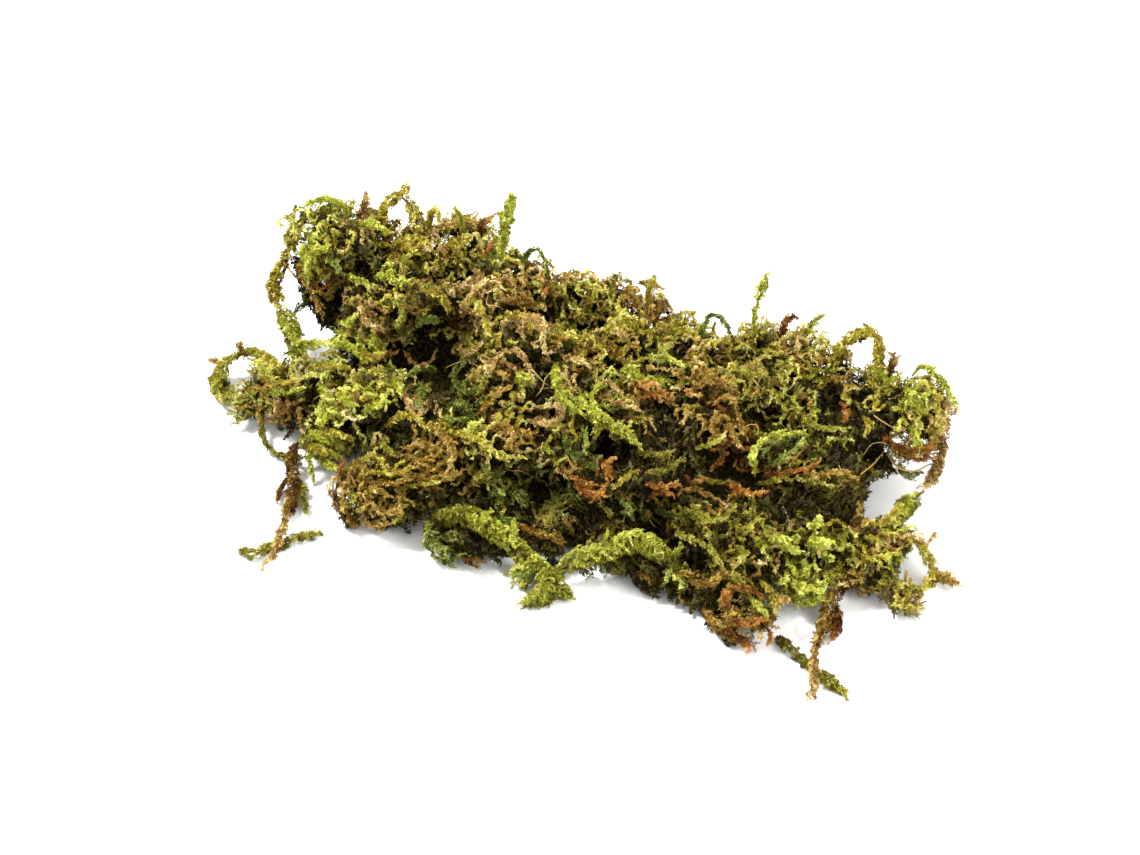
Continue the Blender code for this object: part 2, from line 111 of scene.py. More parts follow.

# Tufts as the photograph shows them: mm right, mm up the view, size in mm, colour family, which way its tips
# point in the view in degrees from the right, style, mm that it stands higher than its neighbours, which also
# paints it lighter, or darker where it is lower: painted light and shade
TUFTS = (
    # upper-left cushion
    (-53, 46, 7, "olive", 160, "curl", 2.8), (-47, 45, 4, "brown", 30, "curl", 4.8),
    (-56, 41, 7, "lime", 200, "curl", 2.0), (-50, 42, 7, "old", 190, "curl", -2.2),
    (-44, 42, 7, "olive", 20, "curl", 1.8), (-40, 40, 6, "gold", 320, "rope", 0.3),
    (-56, 36, 7, "olive", 250, "curl", 0.2), (-52, 34, 6, "gold", 260, "curl", 0.3),
    (-52, 39, 6, "gold", 210, "curl", -0.2), (-47, 38, 5, "old", 270, "curl", -4),
    (-44, 33, 5, "old", 270, "rope", -3),
    # back rim
    (-36, 41, 7, "gold", 30, "rope", 1), (-30, 42, 7, "tan", 50, "curl", 2.0),
    (-26, 38, 6, "gold", 60, "curl", 4.4), (-22, 42, 7, "gold", 30, "crumple", 3.4),
    (-18, 38, 7, "gold", 60, "rope", 3.8), (-13, 37, 7, "lime", 80, "rope", 1.8),
    (-7, 33, 8, "brown", 80, "rope", -2), (0, 31, 8, "olive", 80, "crumple", 0.6),
    (7, 28, 8, "olive", 70, "rope", 1.0), (14, 29, 7, "brown", 60, "curl", 1.2),
    (17, 24, 8, "gold", 50, "curl", 0.2), (24, 20, 8, "gold", 60, "rope", 1.6),
    (33, 21, 8, "gold", 60, "rope", 0.4), (42, 20, 7, "brown", 60, "crumple", 1.6),
    (48, 19, 7, "tan", 40, "curl", 1.8), (53, 16, 7, "olive", 50, "rope", 2.0),
    # right cushion
    (63, 13, 7, "gold", 160, "curl", 2.0), (68, 11, 7, "lime", 40, "curl", 1.4),
    (72, 7, 7, "gold", 350, "curl", 2.4), (71, 2, 7, "lime", 300, "curl", 4.4),
    (69, -3, 6, "gold", 270, "curl", 1.6), (65, 0, 5, "gold", 250, "curl", -1.0),
    (64, 5, 6, "old", 260, "curl", -2.5), (61, 0, 6, "old", 260, "rope", -3),
    (57, 12, 7, "gold", 330, "rope", 2.4),
    # between the left cushion and the middle
    (-39, 31, 7, "lime", 200, "curl", 1.8), (-35, 35, 7, "gold", 210, "rope", 0),
    (-45, 30, 6, "lime", 180, "curl", 1.8), (-31, 33, 6, "gold", 240, "rope", -1.6),
    (-27, 33, 6, "gold", 270, "curl", -2), (-30, 28, 7, "gold", 330, "comb", -2.6),
    (-38, 24, 7, "gold", 260, "curl", 3.2), (-44, 24, 6, "tan", 250, "rope", 2.6),
    (-31, 22, 6, "green", 190, "comb", -1), (-42, 19, 6, "lime", 260, "curl", 3.0),
    (-22, 33, 6, "gold", 300, "rope", -3), (-19, 33, 6, "gold", 250, "rope", 1.2),
    (-21, 24, 6, "tan", 260, "rope", 3.4), (-14, 29, 7, "brown", 300, "crumple", -0.6),
    (-13, 23, 7, "gold", 330, "rope", 1.2), (-8, 26, 7, "brown", 330, "rope", 2.4),
    (-10, 19, 7, "tan", 240, "crumple", 1.8), (-5, 21, 7, "gold", 320, "feather", -1.0),
    (-16, 17, 6, "olive", 260, "rope", 0.3), (-14, 13, 6, "tan", 230, "curl", 0.5),
    (-6, 15, 6, "brown", 300, "rope", -0.3),
    # upper right
    (1, 25, 8, "lime", 320, "rope", 3.2), (1, 18, 7, "gold", 300, "rope", -1.8),
    (8, 22, 8, "gold", 330, "rope", 0.3), (6, 14, 8, "gold", 310, "rope", 0.2),
    (12, 17, 8, "gold", 330, "feather", 1.4), (19, 19, 8, "olive", 320, "rope", 1.0),
    (17, 14, 8, "lime", 340, "comb", 1.4), (12, 11, 7, "lime", 300, "curl", 2.6),
    (25, 15, 8, "olive", 330, "rope", -1.6), (32, 16, 8, "olive", 330, "rope", -2),
    (39, 16, 8, "olive", 330, "rope", 0.3), (46, 14, 8, "gold", 320, "rope", 1.6),
    (50, 9, 8, "olive", 320, "rope", 1.4), (40, 10, 8, "olive", 230, "rope", 0.1),
    (54, 4, 6, "brown", 270, "rope", -1.5),
    # middle
    (-24, 4, 6, "green", 200, "curl", 0), (-32, 7, 6, "green", 270, "rope", 0.3),
    (-23, 11, 6, "green", 260, "curl", -0.5), (-28, 14, 6, "green", 280, "rope", -4),
    (-35, 14, 6, "old", 300, "rope", -3.5), (-20, 0, 7, "lime", 340, "curl", 3.0),
    (-14, 4, 7, "gold", 30, "rope", 1.6), (-14, -1, 6, "brown", 250, "curl", 2.2),
    (-7, 3, 6, "tan", 200, "curl", 2.0), (-2, 9, 7, "lime", 280, "comb", 2.4),
    (2, 5, 7, "lime", 310, "comb", 2.0), (8, 8, 7, "gold", 330, "crumple", -2.6),
    (9, 3, 8, "tan", 330, "rope", 0.3), (15, 7, 7, "brown", 300, "curl", 1.4),
    (23, 8, 8, "brown", 310, "curl", 3.2), (29, 9, 8, "brown", 260, "curl", 1.2),
    (27, 3, 7, "brown", 250, "rope", 1.8), (33, 2, 7, "brown", 270, "rope", 0.3),
    (38, 6, 7, "olive", 240, "rope", 1.0), (45, 4, 7, "lime", 250, "rope", -0.3),
    (22, -1, 6, "old", 300, "rope", -4), (16, -2, 6, "old", 320, "rope", -4),
    (8, -5, 7, "old", 300, "rope", -4.6), (0, -2, 6, "green", 270, "curl", 1.4),
    (-8, -3, 6, "lime", 340, "rope", -0.6), (-10, -9, 7, "green", 320, "rope", 1.6),
    (-3, -7, 6, "brown", 290, "rope", -1.2), (2, -11, 6, "rust", 330, "crumple", -1.8),
    (6, -10, 6, "rust", 270, "curl", -1.6), (10, -16, 6, "green", 260, "curl", 0.3),
    (14, -12, 7, "old", 280, "rope", -3.5), (20, -8, 7, "old", 310, "comb", -4.2),
    (18, -12, 6, "old", 20, "rope", -2.5), (25, -6, 7, "olive", 260, "comb", 0.4),
    (30, -3, 7, "brown", 250, "rope", 1.0), (35, -1, 6, "rust", 270, "rope", 0),
    (34, -8, 6, "old", 270, "rope", -3.5), (41, -2, 8, "green", 200, "comb", 0.2),
    (47, -1, 8, "lime", 200, "rope", -2.2), (43, -7, 8, "rust", 220, "comb", -2.6),
    (50, -6, 8, "old", 220, "comb", -3.6), (54, -9, 7, "olive", 190, "rope", -3),
    (36, -12, 7, "rust", 330, "crumple", 0.4),
    # left fringe
    (-58, 16, 7, "lime", 190, "feather", 1.2), (-51, 17, 7, "lime", 170, "feather", 2.2),
    (-45, 14, 7, "gold", 150, "rope", 2.2), (-64, 12, 6, "gold", 200, "feather", 2.4),
    (-53, 11, 7, "lime", 200, "curl", 0.6), (-47, 10, 6, "olive", 200, "rope", 0.6),
    (-59, 8, 6, "brown", 220, "curl", 2.8), (-57, 4, 6, "brown", 230, "rope", -1.2),
    (-68, 6, 6, "green", 220, "rope", 2.8), (-64, 4, 5, "brown", 240, "rope", -1),
    (-48, 6, 7, "lime", 250, "curl", 2.4), (-42, 8, 7, "gold", 270, "rope", 0.6),
    (-37, 9, 6, "gold", 280, "curl", 1.4), (-43, 2, 7, "lime", 280, "rope", 4.6),
    (-34, 5, 6, "tan", 270, "rope", 0.8), (-50, 2, 5, "lime", 240, "rope", 1),
    (-54, -3, 7, "lime", 200, "curl", 5.0), (-49, -4, 6, "lime", 260, "curl", 4.6),
    (-54, -8, 5, "lime", 270, "rope", 3.0), (-44, -2, 6, "green", 280, "rope", -0.8),
    (-37, -1, 6, "green", 250, "rope", -1.6), (-28, 0, 7, "gold", 320, "curl", 1.6),
    (-30, -6, 7, "brown", 350, "curl", 0.8), (-24, -4, 6, "brown", 260, "curl", 0.5),
    (-41, -6, 6, "gold", 200, "curl", -1.2), (-46, -9, 6, "brown", 240, "rope", 0),
    (-35, -10, 7, "gold", 340, "rope", 0.5), (-26, -9, 7, "brown", 340, "rope", 0),
    # front left lobe
    (-45, -14, 6, "brown", 230, "crumple", -1.8), (-39, -13, 6, "brown", 300, "crumple", -3),
    (-33, -13, 6, "old", 330, "rope", -1.5), (-45, -18, 6, "brown", 220, "rope", 0),
    (-37, -17, 6, "brown", 260, "curl", -0.5), (-31, -17, 6, "old", 290, "rope", -1),
    # front middle
    (-19, -6, 7, "gold", 340, "rope", 1.8), (-18, -11, 7, "green", 340, "comb", -0.8),
    (-12, -13, 6, "green", 300, "rope", 2.0), (-5, -14, 7, "green", 320, "comb", -0.8),
    (-28, -22, 5, "green", 260, "curl", 0.5), (-23, -22, 6, "old", 270, "rope", -3),
    (-21, -26, 5, "brown", 280, "crumple", -0.5), (-14, -17, 5, "green", 330, "rope", -1),
    (-7, -19, 6, "brown", 330, "comb", -0.5), (4, -18, 7, "old", 290, "rope", -3),
    (1, -21, 6, "old", 290, "rope", -3), (12, -28, 6, "brown", 260, "crumple", -2.2),
    (16, -31, 5, "old", 250, "rope", -0.5),
    # right front
    (26, -16, 7, "olive", 230, "rope", -0.9), (32, -17, 7, "olive", 270, "rope", -0.8),
    (36, -20, 6, "brown", 280, "rope", -1.8), (23, -21, 7, "gold", 320, "rope", -1.2),
    (24, -26, 6, "old", 300, "rope", -3), (30, -24, 7, "olive", 300, "rope", -0.8),
    (19, -28, 5, "lime", 260, "curl", 0.6), (29, -30, 7, "brown", 320, "curl", 0),
    (34, -29, 6, "olive", 330, "rope", -0.8), (27, -36, 7, "old", 270, "crumple", -2.6),
    (33, -36, 7, "brown", 260, "crumple", -1.4), (38, -34, 6, "gold", 290, "curl", -1),
    (31, -41, 6, "brown", 260, "curl", -2), (37, -39, 5, "brown", 280, "crumple", -2),
    (41, -24, 7, "lime", 250, "curl", 0.8), (42, -30, 6, "green", 280, "rope", -1.2),
    (48, -23, 6, "lime", 200, "curl", 3.0), (46, -33, 6, "lime", 260, "curl", 4.0),
    (51, -32, 5, "brown", 260, "rope", 1.6), (42, -13, 8, "olive", 200, "comb", -2.2),
    (48, -12, 8, "olive", 210, "comb", -2.2), (54, -14, 8, "olive", 220, "comb", -1.8),
    (46, -17, 8, "olive", 200, "comb", -1.6), (53, -19, 8, "olive", 210, "comb", -1.8),
    (58, -18, 7, "olive", 230, "rope", -3.2), (62, -19, 6, "olive", 120, "rope", -2.6),
    # right fringe
    (57, -24, 7, "olive", 330, "rope", 1.2), (61, -27, 5, "gold", 240, "feather", 3.2),
    (57, -29, 6, "brown", 300, "rope", 1.6), (63, -31, 4, "gold", 230, "curl", 1.8),
    (66, -25, 3, "lime", 330, "rope", 1.4),
    # between them
    (-59, 42, 6, "lime", 200, "curl", 3.2), (-24, 36, 6, "gold", 300, "curl", 4.4),
    (-29, 37, 6, "gold", 250, "rope", 2.4), (-33, 38, 6, "gold", 200, "curl", 1.2),
    (-42, 34, 6, "gold", 230, "curl", 0.6), (-40, 20, 6, "gold", 280, "rope", 3.6),
    (-45, 19, 5, "lime", 250, "curl", 3.6), (-37, 20, 5, "gold", 270, "rope", 2.6),
    (-23, 21, 6, "gold", 260, "rope", 3.4), (-22, 18, 6, "olive", 270, "rope", 3.2),
    (-5, 26, 6, "tan", 320, "curl", 3.2), (2, 23, 7, "gold", 320, "rope", 3.2),
    (-2, 13, 6, "tan", 320, "rope", 1.2), (2, 13, 6, "brown", 310, "rope", 2),
    (-11, 7, 6, "gold", 320, "curl", 3.6), (0, 1, 6, "gold", 310, "rope", 2.8),
    (-67, 9, 6, "lime", 200, "feather", 3.0), (-62, 9, 6, "gold", 210, "rope", 2.4),
    (-53, 7, 7, "lime", 220, "curl", 1.2), (-50, -7, 5, "lime", 260, "rope", 2.6),
    (50, 16, 6, "gold", 320, "rope", 2.6), (74, 3, 6, "gold", 300, "curl", 5.2),
    (73, -2, 6, "tan", 280, "rope", 3.4), (44, -30, 6, "lime", 280, "rope", 2.8),
    (49, -34, 5, "lime", 260, "curl", 3.2), (60, -24, 6, "gold", 320, "rope", 1.8),
    (64, -28, 4, "olive", 220, "rope", 2.4), (58, 4, 6, "olive", 270, "rope", -2.2),
    (60, -5, 6, "green", 270, "rope", -4), (56, -2, 6, "old", 250, "rope", -2),
    (20, 2, 6, "old", 300, "rope", -3.5), (18, -24, 6, "old", 280, "rope", -4.5),
    (28, -28, 6, "old", 300, "rope", -1), (30, -33, 6, "old", 270, "rope", -0.5),
    (-25, -18, 6, "old", 300, "rope", -2), (-49, 36, 5, "old", 270, "curl", -3),
    (-33, 17, 5, "green", 280, "rope", -4), (-30, 10, 5, "green", 300, "rope", -2.5),
    (28, -13, 6, "old", 270, "rope", -2.5),
)

# Places where the mat stands open, so few shoots cross them: mm right, mm up the view, radius
HOLLOWS = (
    (-45, 37, 7), (-32, 14, 6.5), (-29, 9, 4.5), (-36, 0, 4), (8, -6, 6), (14, -12, 7), (21, -2, 5),
    (3, -17, 5), (33, -7, 4), (-10, -9, 5), (-23, -22, 4), (61, -2, 7), (58, 4, 4), (24, -27, 5),
    (20, -25, 4), (-48, 37, 5), (-6, 12, 3), (-57, 5, 4), (20, -7, 6), (28, -13, 5), (26, -33, 4),
    (56, -4, 5), (58, -11, 4), (62, 5, 4.5), (-27, 30, 3), (-19, 31, 2.5), (43, -17, 3), (52, -14, 4),
    (6, -9, 6), (15, -5, 5), (39, -39, 2.5), (-45, 11, 3), (-51, 25, 3), (28, 13, 2.5),
)

# Places where the ground shows between the shoots: mm right, mm up the view, radius
GAPS = (
    (70, -28, 3.0), (-70, 12, 2.0), (-60, 29, 1.6), (-54.5, 22.5, 1.8), (70.5, -7.5, 1.5), (62, -12.5, 2.0),
)

# Single shoots that stand out on the mat: colour family, radius in mm, mm over the skin, share of painted
# light in their colour (painted shade below 1), mm right and up the view of the points that they pass
STRANDS = (
    # upper-left cushion
    ("lime", 1.4, 1.2, 1, ((-46, 43), (-43, 43.5), (-40, 42))),
    ("lime", 1.2, 1.2, 1, ((-57, 38.5), (-56, 36), (-56.5, 33.5))),
    ("lime", 1.1, 1.2, 1, ((-56, 39), (-54, 37.5), (-52, 38.5))),
    ("green", 1.1, 1.0, 1, ((-52, 36.5), (-50.5, 35), (-49.5, 33))),
    ("olive", 1.3, 1.0, 1, ((-55, 46), (-51, 47.5), (-47, 46.5))),
    ("brown", 1.1, 1.0, 1, ((-46, 46), (-43, 46.5), (-41, 45))),
    # back rim
    ("gold", 1.6, 1.5, 1.3, ((-26.5, 40), (-25.3, 39), (-25, 37.5))),
    ("brown", 1.2, 1.0, 1, ((-31, 43.5), (-28, 42.5), (-24.5, 43.5), (-21, 42.5))),
    ("rust", 1.0, 1.0, 1, ((-20.5, 38), (-18.5, 37), (-17.5, 39.5))),
    ("gold", 1.0, 1.2, 1, ((-37, 39), (-34, 38), (-31.5, 39.5))),
    ("rust", 1.2, 1.0, 1, ((-7, 31), (-6, 29.5), (-6.5, 28))),
    ("brown", 1.2, 1.0, 1, ((13, 30.5), (15.5, 31), (18, 29.5))),
    # round the big hollow
    ("lime", 1.1, 1.2, 1, ((-42, 32), (-39.5, 32.5), (-37, 31))),
    ("lime", 1.2, 1.2, 0.85, ((-48, 32.5), (-45, 31), (-42, 29.5))),
    ("gold", 1.3, 1.5, 0.75, ((-33, 29), (-30, 29), (-28, 27.5), (-26, 25))),
    ("tan", 0.9, 1.5, 1, ((-45, 28), (-44.5, 24), (-42, 21.5), (-39, 21))),
    ("olive", 1.0, 1.5, 1.15, ((-41, 27), (-37, 26.5), (-36, 23.5), (-38, 21.5))),
    ("lime", 1.2, 1.0, 1, ((-50, 22.5), (-47.5, 22.5), (-45, 24.5))),
    ("green", 1.2, 0.5, 1, ((-33.5, 21.5), (-31, 23), (-28, 22.5))),
    ("rust", 0.6, 1.2, 0.9, ((-41.5, 14), (-39, 15.8), (-36.7, 16.5))),
    ("brown", 0.6, 1.2, 0.9, ((-36, 16.8), (-33.5, 13.8), (-30.5, 13.8), (-29, 16.5))),
    ("green", 1.0, 0.0, 0.8, ((-35, 11), (-32.5, 13), (-29, 12.5))),
    ("lime", 1.5, 1.5, 1.5, ((-42, 22), (-42.5, 19), (-41.5, 15.5))),
    ("green", 0.9, 0.8, 1, ((-22, 15.5), (-24.5, 13.5), (-25, 10.5), (-22.5, 8), (-20, 8.5))),
    ("olive", 0.9, 1.0, 1, ((-20.5, 19.5), (-22, 17), (-21.5, 14))),
    ("green", 1.3, 1.0, 1, ((-32, 10), (-31.8, 7.5), (-32.2, 5))),
    ("green", 1.1, 1.5, 0.8, ((-26.5, 3.5), (-24, 5.2), (-21.5, 4.2), (-21, 2.5), (-23.5, 2), (-26, 2))),
    ("olive", 1.1, 2.2, 1.5, ((-44, 20), (-41, 18), (-39.5, 14.5))),
    ("gold", 1.1, 2.2, 1.2, ((-46, 17), (-42.5, 15), (-39.5, 16.5))),
    ("olive", 1.0, 2.6, 1.5, ((-24, 21), (-21.5, 18.5), (-20, 15))),
    ("tan", 0.9, 2.6, 1.5, ((-25, 18), (-22.5, 16), (-19.5, 17.5))),
    # bleached arches and rings
    ("tan", 0.8, 1.5, 1.1, ((-23.5, 22), (-23, 26), (-20.5, 29.5), (-17, 31), (-14.5, 29))),
    ("tan", 0.9, 1.2, 0.6, ((-15, 31), (-13, 30.5), (-12.5, 28), (-14.5, 27), (-16, 29))),
    ("tan", 1.0, 1.5, 0.6, ((-21, 34), (-19.5, 31), (-19, 28))),
    ("tan", 0.8, 2.5, 1.25, ((-24.5, 18), (-21.5, 21), (-18, 23))),
    ("tan", 0.7, 2.5, 1.2, ((-23, 24.5), (-20, 24.5), (-17, 22))),
    ("gold", 1.2, 2.5, 1.3, ((-21, 27), (-19, 24), (-18, 20))),
    ("tan", 1.0, 1.5, 1, ((-17.5, 11.5), (-16, 15), (-12.5, 16.5), (-10, 14), (-8.5, 9))),
    ("tan", 0.9, 1.5, 1, ((-13, 22), (-9.5, 23), (-7, 20), (-6.5, 17))),
    ("brown", 0.9, 1.2, 1, ((-20, 3), (-17, 6.5), (-13, 9))),
    ("tan", 1.0, 1.5, 1, ((-10, 2), (-6.5, 1.2), (-3, 2.5), (-3, 4.5), (-6, 5), (-9, 4.5))),
    ("tan", 0.9, 1.0, 1, ((-3, 15.5), (0, 14.5), (3, 13))),
    ("tan", 0.7, 1.5, 0.9, ((5, 6.5), (9, 5.5), (12.5, 4.2))),
    ("tan", 0.8, 1.2, 0.6, ((3, 11), (7, 9.5), (10, 7))),
    # fresh fronds in the middle
    ("lime", 1.7, 2.0, 1, ((-12.5, 10), (-11, 10.8), (-10, 10))),
    ("lime", 1.4, 2.0, 1, ((-3.5, 14), (-4, 10), (-2.5, 6.5), (0, 4))),
    ("lime", 1.5, 2.2, 1, ((0, 7), (3, 4), (6, 2), (9.5, 0), (13, -3))),
    ("lime", 1.1, 1.8, 1, ((2, 8), (4.5, 4.5), (4.5, 1), (4.3, -1.5))),
    ("green", 0.9, 1.5, 1, ((-2.5, -0.5), (-1.5, -4), (0.8, -5.5), (2.3, -3), (1.8, 0))),
    ("lime", 1.1, 1.2, 1, ((10, 13), (12.5, 12), (13.5, 9.5))),
    ("lime", 1.1, 1.0, 1, ((15, 15), (19, 14.5), (22.5, 13))),
    # brown and rust ropes
    ("rust", 1.2, 1.8, 1, ((12, 8), (14, 9), (17, 8.5), (19, 6.5))),
    ("rust", 1.0, 1.5, 1, ((13, 6), (15.5, 7.5), (18, 6))),
    ("brown", 1.1, 1.5, 0.7, ((24, 8), (27, 10), (31, 9.5), (33.5, 7))),
    ("brown", 0.9, 1.2, 1, ((28, 5), (31, 7), (33, 4), (34, 0))),
    ("brown", 0.9, 1.0, 1, ((31, 3), (32, -1), (34, -4))),
    ("rust", 1.3, 1.8, 1, ((5, -6), (6.5, -8.5), (6, -11.5), (4, -13.5))),
    ("rust", 1.2, 1.8, 1, ((0, -10.5), (2, -12.5), (4, -12.5), (7, -13.5))),
    ("rust", 1.0, 1.0, 1, ((-1, -9), (1, -10.5), (3, -11))),
    ("green", 1.1, 1.0, 1, ((9, -13.5), (10.5, -15.5), (11.5, -17.5))),
    ("gold", 1.0, 1.2, 0.8, ((13, -8), (10.5, -9.5), (8, -11.5))),
    ("rust", 0.8, 0.8, 0.7, ((14, -10.5), (17, -11.5), (20.5, -11))),
    ("rust", 0.9, 1.2, 1, ((31, -10.5), (33, -12), (36, -13), (39, -12.5))),
    ("rust", 0.8, 1.0, 1, ((27, -8.5), (29.5, -6.5), (31, -4.5))),
    ("olive", 0.9, 1.0, 1, ((24, -3.5), (27, -3), (30, -1.5))),
    ("rust", 1.0, 1.0, 1, ((54.5, 6), (55.5, 4), (55, 2))),
    ("gold", 1.0, 1.0, 0.8, ((59, 3), (60, 1), (59.5, -0.5))),
    # in the open middle
    ("rust", 0.6, 1.0, 0.9, ((4, -5), (6, -6.5), (8.5, -5.5))),
    ("rust", 0.6, 1.0, 0.8, ((15, -13.5), (17.5, -12.3), (20, -13.5))),
    ("rust", 0.6, 1.0, 0.8, ((22, -9), (24, -10.5), (26.5, -10))),
    ("green", 0.9, 0.0, 0.6, ((1, -6), (4, -7.5), (5, -5))),
    ("olive", 0.9, -0.5, 0.35, ((12, -4), (16, -5), (20, -4.5))),
    ("olive", 0.9, -0.5, 0.35, ((14, -8.5), (18, -8), (22, -6))),
    ("brown", 0.8, -0.5, 0.6, ((20, -13), (24, -12), (28, -13.5))),
    ("green", 0.9, -0.5, 0.55, ((16, -16), (20, -17.5), (24, -17))),
    ("olive", 0.8, -0.3, 0.45, ((24, -9), (28, -10.5), (32, -10.5))),
    # arches on the right
    ("lime", 1.2, 1.5, 1, ((36.5, -9.5), (36, -5.5), (37.5, -2.5), (41, -1), (46, -0.5))),
    ("olive", 0.9, 1.2, 1.2, ((45, 5), (47, 2.5), (50, 0.5), (55, 0))),
    ("green", 0.9, 1.2, 1, ((38, -7), (41, -6.5), (44, -4.5), (46.5, -2))),
    ("rust", 0.8, 1.2, 0.8, ((38, -9.5), (43, -8.5), (47, -8), (50, -6))),
    ("olive", 0.8, 1.0, 1, ((36.5, -11), (41, -10), (46, -10), (51, -11))),
    ("brown", 0.9, 1.0, 1, ((45, -9.5), (50, -9), (54, -8.5), (57, -10))),
    ("lime", 1.2, 1.5, 1, ((60, 13.5), (62.5, 11.5), (65, 9.5))),
    ("lime", 1.4, 1.5, 1, ((67, 9), (69, 6), (71, 4))),
    ("lime", 1.3, 1.2, 1, ((68, 1), (69.5, -1), (70, -3.5))),
    ("gold", 1.1, 1.2, 1, ((72, 10), (74, 6.5), (74, 3))),
    # left of the middle
    ("gold", 1.1, 1.5, 1.15, ((-27, -0.5), (-22, -1), (-18, -3.5), (-14, -5.5), (-10, -5.5))),
    ("brown", 1.0, 1.5, 1, ((-17, 0), (-14.5, 1), (-12.5, -1), (-14, -3))),
    ("brown", 1.1, 1.8, 1, ((-35, -5), (-32, -6.5), (-28.5, -5.5), (-28, -3.8), (-31.5, -3), (-35, -4))),
    ("olive", 1.0, 1.5, 1, ((-39, -1), (-39, -3.5), (-37, -5))),
    ("gold", 1.0, 1.5, 1, ((-39.5, 0.5), (-36, 2.8), (-32.5, 2.3), (-30, 0))),
    ("brown", 1.1, 1.8, 1, ((-31, 1), (-27, -1), (-25, -4.5), (-26, -8))),
    ("gold", 0.8, 1.5, 1, ((-47, -9.5), (-44.5, -6.5), (-41, -5.3), (-39, -7.5), (-40, -9.5))),
    ("brown", 0.8, 1.2, 1.1, ((-44, -10), (-39, -11), (-34, -10), (-29, -8), (-25, -5))),
    ("brown", 1.0, 1.0, 1, ((-37, -8), (-32, -9.5), (-26, -9.5), (-22, -8))),
    ("gold", 0.7, 1.6, 1, ((-46, -11), (-42, -8.5), (-37, -9), (-33, -7.5))),
    ("brown", 0.7, 1.6, 1, ((-40, -10.5), (-35, -8), (-30, -7.2), (-27, -9))),
    ("gold", 0.8, 1.6, 1, ((-37, -12.5), (-32, -11), (-28, -10.5), (-24, -8.5))),
    # left fringe
    ("lime", 1.4, 1.5, 1, ((-49, 8), (-47.5, 6), (-45.5, 5))),
    ("lime", 1.2, 1.5, 1, ((-38, 10.5), (-36.5, 9.5), (-36, 7.5))),
    ("tan", 0.8, 1.2, 1, ((-36, 9), (-34.5, 6), (-33, 3))),
    ("lime", 1.2, 1.5, 1, ((-44, 3.5), (-41, 5), (-38, 6))),
    ("lime", 1.3, 1.2, 1, ((-62, 15.5), (-58, 17.5), (-53, 18), (-48, 18.2))),
    ("lime", 1.2, 1.2, 1, ((-50, 17.5), (-46.5, 17), (-43.5, 14))),
    ("gold", 1.0, 1.0, 1, ((-57, 13), (-52, 13.5), (-47, 13))),
    ("lime", 1.5, 1.2, 1.6, ((-57, -1.5), (-54, -0.5), (-50.5, -2), (-48, -4))),
    ("lime", 1.1, 1.0, 1.5, ((-55.5, -3), (-55, -6.5), (-54.3, -10.5))),
    ("lime", 1.4, 2.6, 1.7, ((-56, -1), (-52, -1.5), (-48, -3))),
    ("gold", 1.3, 2.6, 1.6, ((-56.5, -3), (-52.5, -4), (-48.5, -6))),
    ("lime", 1.2, 2.2, 1.6, ((-55, -5), (-52, -6.5), (-49, -8))),
    ("gold", 1.2, 2.6, 1.6, ((-53, 0.5), (-49.5, -0.5), (-46, -2))),
    ("gold", 1.2, 2.0, 1.25, ((-66, 11), (-62, 10), (-57.5, 10.5))),
    ("lime", 1.2, 2.0, 1.2, ((-65, 8.5), (-61, 7.8), (-57, 8.8))),
    # front left
    ("brown", 1.0, 1.0, 1, ((-47, -12), (-47.5, -15), (-46.5, -18.5))),
    ("brown", 1.0, 1.0, 1, ((-44, -13), (-41, -12), (-38, -13.5))),
    ("brown", 1.0, 0.8, 1, ((-40, -16), (-37.5, -16.8), (-35, -15.5))),
    ("brown", 0.8, 0.8, 1, ((-45, -18), (-42, -19.5), (-38, -19))),
    ("green", 1.4, 1.0, 1, ((-28.5, -19), (-28.8, -21.5), (-27.5, -24.5))),
    ("green", 1.1, 1.0, 1, ((-13, -11.5), (-11.5, -13.5), (-10.5, -15))),
    ("green", 1.0, 1.0, 1, ((-16, -17.5), (-14, -18.5), (-12.3, -19))),
    ("brown", 0.8, 1.0, 1, ((-10.5, -19.5), (-7, -21), (-4, -22))),
    # front right
    ("olive", 1.1, 1.2, 0.8, ((20, -20.5), (23.5, -22), (26.5, -23.5), (28.5, -26), (29.5, -28))),
    ("olive", 1.0, 1.5, 0.8, ((24, -15.5), (26, -17.5), (29, -18), (32, -16))),
    ("olive", 1.0, 1.2, 1, ((31, -18), (34, -20), (37, -18))),
    ("olive", 1.1, 1.2, 1, ((32, -23), (34, -25), (32.5, -27))),
    ("green", 1.3, 1.2, 1, ((20.5, -25.5), (19.5, -28), (18.5, -30.5))),
    ("brown", 1.1, 1.2, 1, ((22.5, -30), (26, -31), (30, -29), (34, -29.5))),
    ("rust", 1.2, 1.5, 1, ((31, -36), (30, -33), (33, -31.5), (36.5, -33))),
    ("rust", 1.1, 1.5, 1, ((31, -37), (34, -38.5), (37.5, -38))),
    ("lime", 1.1, 1.5, 0.7, ((35, -33.5), (37, -35.5), (38.5, -37))),
    ("gold", 1.1, 1.5, 0.75, ((37, -30), (39.5, -33), (40.5, -37))),
    ("brown", 1.2, 1.0, 1, ((26, -36), (28, -38), (30, -39.5))),
    ("rust", 0.9, 1.0, 1, ((33, -41), (34.2, -43), (34.5, -44.5))),
    ("rust", 0.8, 1.0, 1, ((38.5, -39.5), (39, -41.5), (38.5, -43))),
    ("lime", 1.8, 1.5, 1.05, ((46.5, -22.5), (48.5, -22.8), (51, -23))),
    ("lime", 1.4, 1.0, 0.85, ((39, -22), (42, -22.5), (44.5, -25))),
    ("lime", 1.4, 1.0, 1.25, ((43, -33), (46, -35), (49.5, -34))),
    ("lime", 1.5, 2.0, 1.3, ((43.5, -30), (46, -31.8), (49, -32.5))),
    ("gold", 1.2, 1.0, 0.85, ((60, -20), (63.5, -18), (65, -16))),
    ("gold", 1.2, 1.0, 1.2, ((57, -25), (61, -26), (65, -25))),
)
